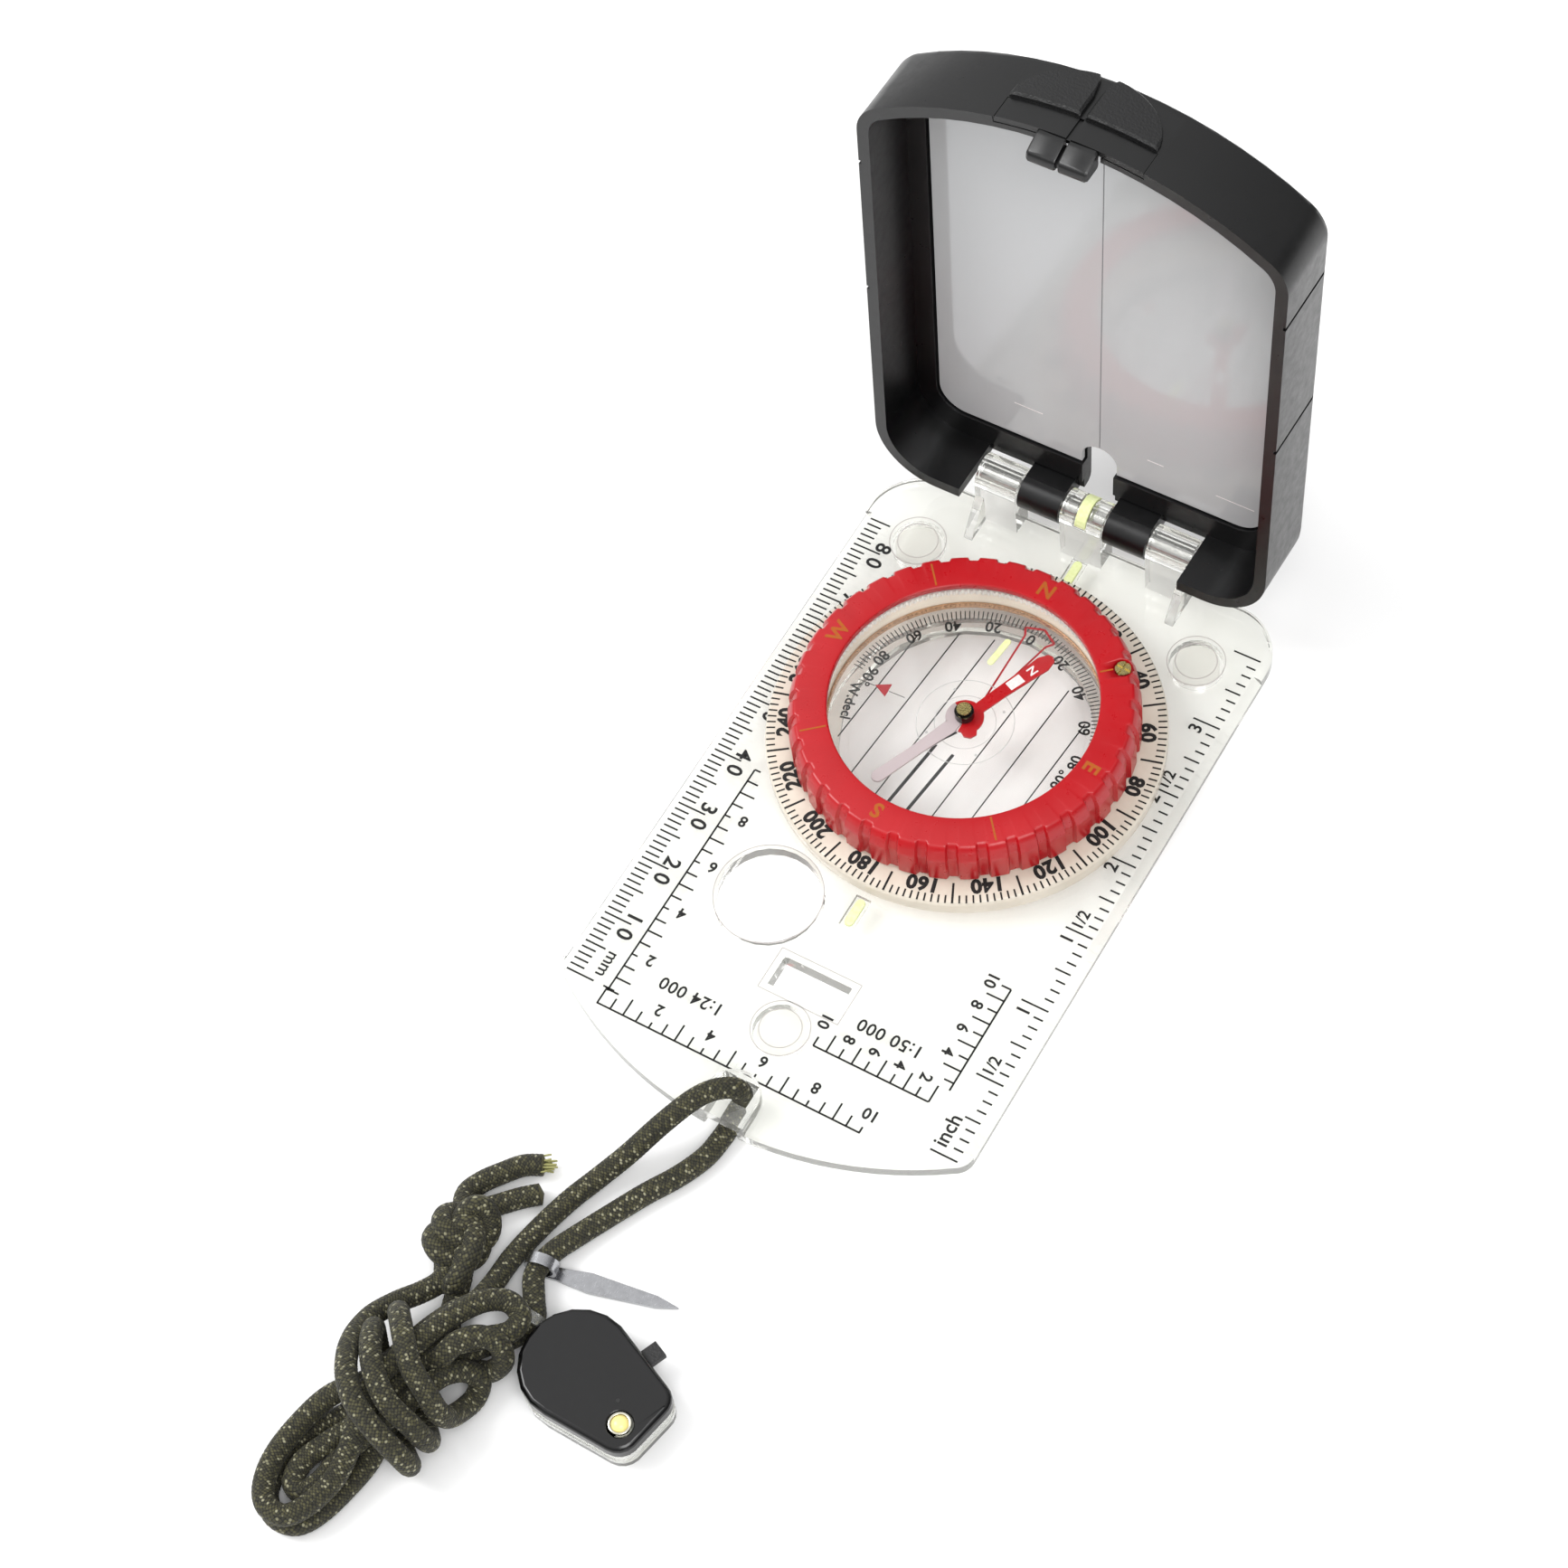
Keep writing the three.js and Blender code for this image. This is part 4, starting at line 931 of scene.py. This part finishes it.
def print_arrow():
    """The orienting arrow and the two black lines behind it."""
    z = CAPSULE_FLOOR + PRINT_GAP + 0.03
    south = Print("print_south_lines", z, DIAL_AT, ARROW_TURNED)
    arrow = Print("print_orienting_arrow", z, DIAL_AT, ARROW_TURNED)
    for side in (-1, 1):
        south.line((side * 1.5, -5.0), (side * 1.5, -17.3), 0.5)
        neck, wing = (side * 1.8, 17.0), polar(18.3, side * 8)
        arrow.line((side * 0.35, 5.4), neck, 0.3)
        arrow.line(neck, wing, 0.34)
        arrow.line(wing, (0.0, 19.3), 0.34)
    south.finish("capsule", "print_black")
    arrow.finish("capsule", "print_red")


def print_clinometer():
    """The hair line along the clinometer's arm, and grey circles and dots where the clear disc has moulded
    ones: painted shade for their edges.
    """
    marks = Print("print_clinometer", CLINOMETER_TOP, DIAL_AT, CLINOMETER_TURNED)
    marks.line((0.0, 9.7), (0.0, 12.2), 0.1)
    marks.line((0.0, 14.5), (0.0, 17.1), 0.1)
    marks.finish("clinometer", "print_black")
    # The edge_grey marks are painted shade along the edges of the clear moulded circles and dots.
    edges = Print("clinometer_edges", CLINOMETER_TOP, DIAL_AT, CLINOMETER_TURNED)
    edges.circle(7.0, 0.12, 90)
    edges.circle(4.4, 0.1)
    for bearing in (48.0, 138.0, 228.0, 318.0):
        x, y = polar(5.7, bearing)
        edges.prism([(x + 0.22 * math.cos(t), y + 0.22 * math.sin(t))
                     for t in (math.pi * i / 6 for i in range(12))])
    edges.finish("clinometer", "edge_grey")


# ---- Dial and capsule ----
SCREW_PIN = JOINTS["screw_turn"]["pos_m"]
SCREW_AT = (SCREW_PIN[0] / MM, (SCREW_PIN[1] - PLATE_SHIFT_Y) / MM)
GRIPS = 36
GASKET_TEETH = 150


def bezel_shape():
    """The red ring with its grip notches and rounded edges."""
    profile = rounded([(21.9, 6.5), (25.0, 6.5), (25.0, 11.4), (24.5, 13.0), (23.9, BEZEL_TOP),
                       (19.2, BEZEL_TOP), (19.2, 12.7), (21.9, 12.7)], 0.35)

    def notched(r, bearing):
        across = (bearing * GRIPS / 360.0) % 1.0
        wall = min(abs(across - 0.5) * 2, 1.0)
        depth = max(0.0, min(1.0, (wall - 0.6) / 0.1))
        return r - 0.5 * depth if r > 23.3 else r

    return revolved(profile, GRIPS * 14, change=notched, turned_by=BEZEL_TURNED)


def gasket_shape():
    """The fine-toothed seal under the window's edge."""
    def toothed(r, bearing):
        tooth = 0.12 if int(bearing * GASKET_TEETH / 360 * 2) % 2 else -0.12
        return r + tooth if r < 19.9 else r

    return revolved([(19.75, 10.7), (20.05, 10.7), (20.05, 11.55), (19.75, 11.55)], 600, change=toothed)


def dial_floor_shape():
    """The clear part of the dial: the sleeve that turns in the plate and the floor under the capsule."""
    sleeve = revolved(rounded([(17.0, 1.2), (18.1, 1.2), (18.1, 3.7), (24.15, 3.7), (24.15, 6.1),
                               (17.0, 6.1)], 0.1, 2), 160)
    return disc(sleeve, 16.99, 4.7, 6.0)


def carve(made, cutter):
    """Cuts a closed mesh out of a piece, then throws the cutter away."""
    tool = bpy.data.objects.new("cutter", cutter)
    bpy.context.scene.collection.objects.link(tool)
    cut = made.modifiers.new("cut", "BOOLEAN")
    cut.operation = "DIFFERENCE"
    cut.solver = "EXACT"
    cut.object = tool
    bpy.context.view_layer.update()
    result = bpy.data.meshes.new_from_object(made.evaluated_get(bpy.context.evaluated_depsgraph_get()))
    made.modifiers.remove(cut)
    made.data = result
    bpy.data.objects.remove(tool)


def make_dial():
    bezel = piece("bezel_red", bezel_shape(), "red_plastic", "dial", ["bezel"], 32.0)
    screw_pocket = disc(bmesh.new(), 1.45, 12.95, 14.5, 32, middle=SCREW_AT)
    carve(bezel, finished_mesh("screw_pocket", screw_pocket))
    ring = rounded([(24.2, 3.75), (28.7, 3.75), (28.7, 5.75), (28.3, RING_TOP), (24.2, RING_TOP)], 0.12)
    piece("graduated_ring", revolved(ring, 200), "ring", "dial", ["graduated_dial"])
    piece("dial_floor", dial_floor_shape(), "wet_pane", "dial")


def make_capsule():
    cup = disc(band(20.2, 20.8, 6.95, 12.4, 0.1), 20.8, 6.3, CAPSULE_FLOOR)
    window = disc(bmesh.new(), 19.9, 11.6, 12.3, edge=0.12)
    for name, shape, material, slot, replaced in (
            ("capsule_cup_clear", cup, "wet_pane", "clear_plastic", ["capsule_cup"]),
            ("capsule_window_clear", window, "pane", "clear_plastic", ["capsule_window"]),
            ("capsule_gasket_toothed", gasket_shape(), "seal_white", "clear_plastic", ["capsule_gasket"]),
            # The cream wall band is painted light: an opaque band standing in for the pale ring seen bent
            # through the clear cup wall.
            ("capsule_wall_painted_light_band", band(20.0, 20.15, 7.0, 10.6), "cream", "clear_plastic", ()),
            ("damping_ring_copper", band(19.7, 19.95, 7.15, 8.3), "copper", "copper", ["damping_ring"])):
        piece(name, shape, material, "capsule", replaced)


# ---- Needle ----
NEEDLE_BEARING = 23.6
NEEDLE_TOP = 9.15
NEEDLE_BOTTOM = 8.8
NEEDLE_HUB = 2.75


def blade(outline, top):
    """One half of the needle, from its outline with y towards its own north."""
    shape = bmesh.new()
    aimed = [turned(x, y, math.radians(-NEEDLE_BEARING), DIAL_AT) for x, y in outline]
    loft(shape, [[place(x, y, z) for x, y in aimed] for z in (NEEDLE_BOTTOM, top)])
    bmesh.ops.triangulate(shape, faces=[face for face in shape.faces if len(face.verts) > 4])
    return shape


def arc_points(radius, from_, to, steps, middle=(0.0, 0.0)):
    """Points round a middle, bearings clockwise from north."""
    return [polar(radius, from_ + (to - from_) * i / steps, middle) for i in range(steps + 1)]


def red_outline():
    """The pointed north half, its hub cut back where the south half's hub shows."""
    hub = NEEDLE_HUB
    side = [(0.7, 15.5), (1.25, 14.0), (1.1, 11.0), (0.95, 6.5)]
    arm = [(-0.75, hub * 0.9), *((-x, y) for x, y in side[::-1]), (0.0, 15.8), *side, (1.0, hub * 0.9)]
    return [*arm, *arc_points(hub, 25, 88, 8), (3.4, -0.5), (3.3, -1.5), (2.5, -2.1),
            *arc_points(hub * 0.92, 140, 150, 1), (0.2, 0.1), (-hub, 0.4), *arc_points(hub, -80, -18, 6)]


def grey_outline():
    """The round-ended south half with its part of the hub."""
    hub, tip = NEEDLE_HUB, arc_points(0.95, 270, 90, 9, (0.0, -15.35))
    arm = [(-1.15, -hub * 0.8), (-0.85, -8.0), *tip, (0.85, -8.0), (1.15, -hub * 0.8)]
    return [*arm, *arc_points(hub, 150, 158, 1), (0.25, 0.0), (-hub, 0.3), *arc_points(hub, -90, -160, 8)]


def make_needle():
    north, south = blade(red_outline(), NEEDLE_TOP), blade(grey_outline(), NEEDLE_TOP - 0.02)
    piece("needle_north", north, "needle_red", "needle", ["needle"], 30)
    piece("needle_south", south, "needle_paint", "needle", (), 30)
    white = Print("print_needle", NEEDLE_TOP + PRINT_GAP, DIAL_AT, NEEDLE_BEARING)
    white.words("N", (0.0, 12.1), 1.35, 0, 0.02)
    white.prism([(-0.72, 7.8), (0.72, 7.8), (0.78, 10.2), (-0.78, 10.2)])
    white.finish("needle", "print_white")


# ---- Lid: the latch and the marks on the mirror ----
LID_LEAN = math.radians(3.54)
LID_ARCH = (53.0, 84.0)
MIRROR_FACE = 3.1
LATCH_HALF = 11.0
PANEL_RIM = -6.73
PANEL_STEP = -2.98
PANEL_REAR = 3.72
PANEL_SEAM = 10.6


def place_lid(x, y, z):
    """A point of the lid: z along it from the hinge, y from its open side to its back."""
    cos, sin = math.cos(LID_LEAN), math.sin(LID_LEAN)
    return HINGE_MIDDLE + Vector((x, y * cos + z * sin, z * cos - y * sin)) * MM


def arch(x):
    """The height of the lid's arched top."""
    radius, top = LID_ARCH
    return top - radius + math.sqrt(radius ** 2 - x ** 2)


def arched_slab(shape, sides, near, far, heights, edge, steps=14):
    """A slab that follows the lid's arch between two x values. near and far are its y values, and far
    may change with x. heights are those of its bottom and top above the arch."""
    bottom, top = heights
    rings = []
    for i in range(steps + 1):
        x = sides[0] + (sides[1] - sides[0]) * i / steps
        trim = edge if 0 < i < steps else edge * 2
        high = far(x) if callable(far) else far
        section = [(near, bottom), (high, bottom), (high, top - trim), (high - edge, top + edge - trim),
                   (near + edge, top + edge - trim), (near, top - trim)]
        rings.append([place_lid(x, y, arch(x) + rise) for y, rise in section])
    loft(shape, rings)


def pad_back(x):
    """The curved rear edge of the grip pads, with the sighting notch where they meet."""
    curve = -2.9 + 7.4 * math.sqrt(max(0.0, 1 - (max(0.0, abs(x) - 0.7) / 9.9) ** 2))
    notch = 1.2 + (abs(x) - 0.4) * 4.2
    return min(curve, notch)


def lid_box(shape, low, high, front, back):
    """A thin box in the lid, between two (x, z) corners and two y values."""
    corners = ((low[0], low[1]), (high[0], low[1]), (high[0], high[1]), (low[0], high[1]))
    loft(shape, [[place_lid(x, y, z) for x, z in corners] for y in (front, back)])


def latch_tab():
    """The two hooks that catch in the plate, and the dark bar between them."""
    shape = bmesh.new()
    profile = rounded([(-10.1, 80.9), (-6.55, 80.9), (-6.55, 83.78), (-7.2, 83.7), (-10.1, 82.5)], 0.6, 4)
    middle_y, middle_z = -8.4, 82.0
    for side in (-1, 1):
        loft(shape, [[place_lid(side * x, y + (middle_y - y) * drawn_in, z + (middle_z - z) * drawn_in)
                      for y, z in profile]
                     for x, drawn_in in ((0.25, 0.06), (0.4, 0.0), (4.0, 0.0), (4.3, 0.12))])
    bar = ((-9.6, 81.3), (-6.7, 81.3), (-6.7, 82.6), (-9.6, 82.1))
    loft(shape, [[place_lid(x, y, z) for y, z in bar] for x in (-0.35, 0.35)])
    return shape


def make_latch():
    pads, panel = bmesh.new(), bmesh.new()
    half, rim, step, seam = LATCH_HALF, PANEL_RIM, PANEL_STEP, PANEL_SEAM
    for side in (-1, 1):
        arched_slab(pads, (side * 0.4, side * 10.5), -2.9, pad_back, (-0.2, 0.82), 0.3, 30)
        arched_slab(panel, (side * 0.32, side * seam), rim, step, (-0.6, 0.0), 0.04)
        arched_slab(panel, (side * (seam + 0.08), side * half), rim, step, (-0.6, 0.012), 0.01, 2)
    arched_slab(panel, (-half, half), step + 0.02, PANEL_REAR, (-0.66, 0.012), 0.01, 24)
    arched_slab(panel, (0.2 - half, half - 0.2), rim + 0.02, step, (-0.96, -0.3), 0.05, 24)
    piece("latch_pads", pads, "black_matt", "lid", ["sight_latch"], 25)
    piece("latch_panel", panel, "lid_black", "lid", (), 25)
    piece("latch_tab", latch_tab(), "lid_black", "lid", (), 25)


def mark_mirror():
    """The sight line, and the short bright scuffs by the mirror's lower edge."""
    front, back = MIRROR_FACE - 0.03, MIRROR_FACE - 0.005
    line, scuffs = bmesh.new(), bmesh.new()
    lid_box(line, (-0.07, 12.0), (0.07, 78.5), front, back)
    for x, z, length in ((-13.8, 14.2, 4.6), (7.6, 13.6, 2.6), (18.5, 12.0, 6.0)):
        lid_box(scuffs, (x, z), (x + length, z + 0.14), front, back)
    piece("mirror_sight_line", line, "sight_grey", "lid")
    piece("mirror_scuffs", scuffs, "print_white", "lid")


# ---- Luminous strips ----
STRIP_BOTTOM = 3.02
STRIP_TOP = 3.42


def round_ended(length, width, steps=8):
    """A long outline with round ends, along y."""
    half, r = length / 2, width / 2
    top = [(r * math.cos(math.pi * i / steps), half - r + r * math.sin(math.pi * i / steps))
           for i in range(steps + 1)]
    return top + [(-x, -y) for x, y in top]


def make_strip(name, middle, size, heights, body, node, bearing=0.0):
    bottom, top = heights
    shape = bmesh.new()
    rings = []
    for shrink, z in ((0.0, bottom), (0.0, top - 0.05), (0.06, top)):
        outline = round_ended(size[0] - 2 * shrink, size[1] - 2 * shrink)
        rings.append([place(*turned(x, y, math.radians(-bearing), middle), z) for x, y in outline])
    loft(shape, rings)
    piece(name, shape, "luminous", body, [node])


def make_strips():
    heights = (STRIP_BOTTOM, STRIP_TOP)
    make_strip("glow_front", (0.0, 26.3), (4.5, 1.35), heights, "base", "luminous_strip_front")
    make_strip("glow_rear", (0.0, 90.0), (4.5, 1.35), heights, "base", "luminous_strip_rear")
    beside_arrow = polar(12.95, ARROW_TURNED - 14.3, DIAL_AT)
    make_strip("glow_capsule", beside_arrow, (5.1, 1.0), (6.95, 7.12), "capsule", "luminous_strip_capsule",
               ARROW_TURNED)


# ---- Lamp ----
LAMP_LIGHT_AT = (11.6, -53.9)
LAMP_DOT_AT = (9.7, -51.3)


def make_lamp_light():
    """The dome of the lamp's light in its bright ring, and the dot beside it."""
    dome = stacked_discs(bmesh.new(), [(1.22, 5.2), (1.22, 6.05), (1.1, 6.35), (0.8, 6.6), (0.4, 6.72)], 24,
                         LAMP_LIGHT_AT)
    piece("lamp_dome", dome, "led", "base", ["lamp_led"])
    ring = band(1.24, 1.55, 5.3, 6.3, 0.1, 48, LAMP_LIGHT_AT)
    piece("lamp_bright_ring", ring, "lens_ring", "base")
    dot = disc(bmesh.new(), 0.32, 5.95, 6.04, 24, 0.02, LAMP_DOT_AT)
    piece("lamp_dot", dot, "pure_black", "base")


# ---- Refined copies of CAD parts: the same shape, with softened edges and smooth curves ----
def refined(node, name, material, bevel, smooth_below=30.0):
    source = frame["nodes"][node]
    shape = bmesh.new()
    shape.from_mesh(source.data)
    bmesh.ops.remove_doubles(shape, verts=shape.verts, dist=0.00001)
    bmesh.ops.dissolve_limit(shape, angle_limit=math.radians(1.0), verts=shape.verts, edges=shape.edges)
    made = piece(name, shape, material, source["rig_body"], [node], smooth_below)
    if bevel:
        soft = made.modifiers.new("softened_edges", "BEVEL")
        soft.width = bevel * MM
        soft.segments = 2
        soft.limit_method = "ANGLE"
        soft.angle_limit = math.radians(smooth_below)
        soft.use_clamp_overlap = True
    return made


make_camera()
make_stage()
make_lights()

for part in frame["record"]["subparts"]:
    node = frame["nodes"][part["node"]]
    node.data.materials.clear()
    node.data.materials.append(MATERIALS[part["material_slot"]])

make_dial()
make_capsule()
make_needle()
print_plate()
plate_ridges()
print_dial()
print_meridians()
print_arrow()
print_clinometer()
for node, name, material, slot, bevel in (
        ("clinometer_arm", "clinometer_arm_clear", "wet_pane", "clear_plastic", 0),
        ("retaining_ring", "retaining_ring_clear", "wet_pane", "clear_plastic", 0),
        ("lid_shell", "lid_moulding", "lid_black", "black_gloss", 0.3),
        ("baseplate", "baseplate_moulding", "clear_plastic", "clear_plastic", 0.15),
        ("lamp_cover", "lamp_cover_moulding", "black_gloss", "black_gloss", 0.25),
        ("lamp_base", "lamp_base_moulding", "clear_plastic", "clear_plastic", 0.2)):
    refined(node, name, material, bevel)
key = refined("declination_key", "declination_key_blade", "blade_steel", 0.05)
make_lanyard()
make_latch()
mark_mirror()
make_strips()
make_lamp_light()
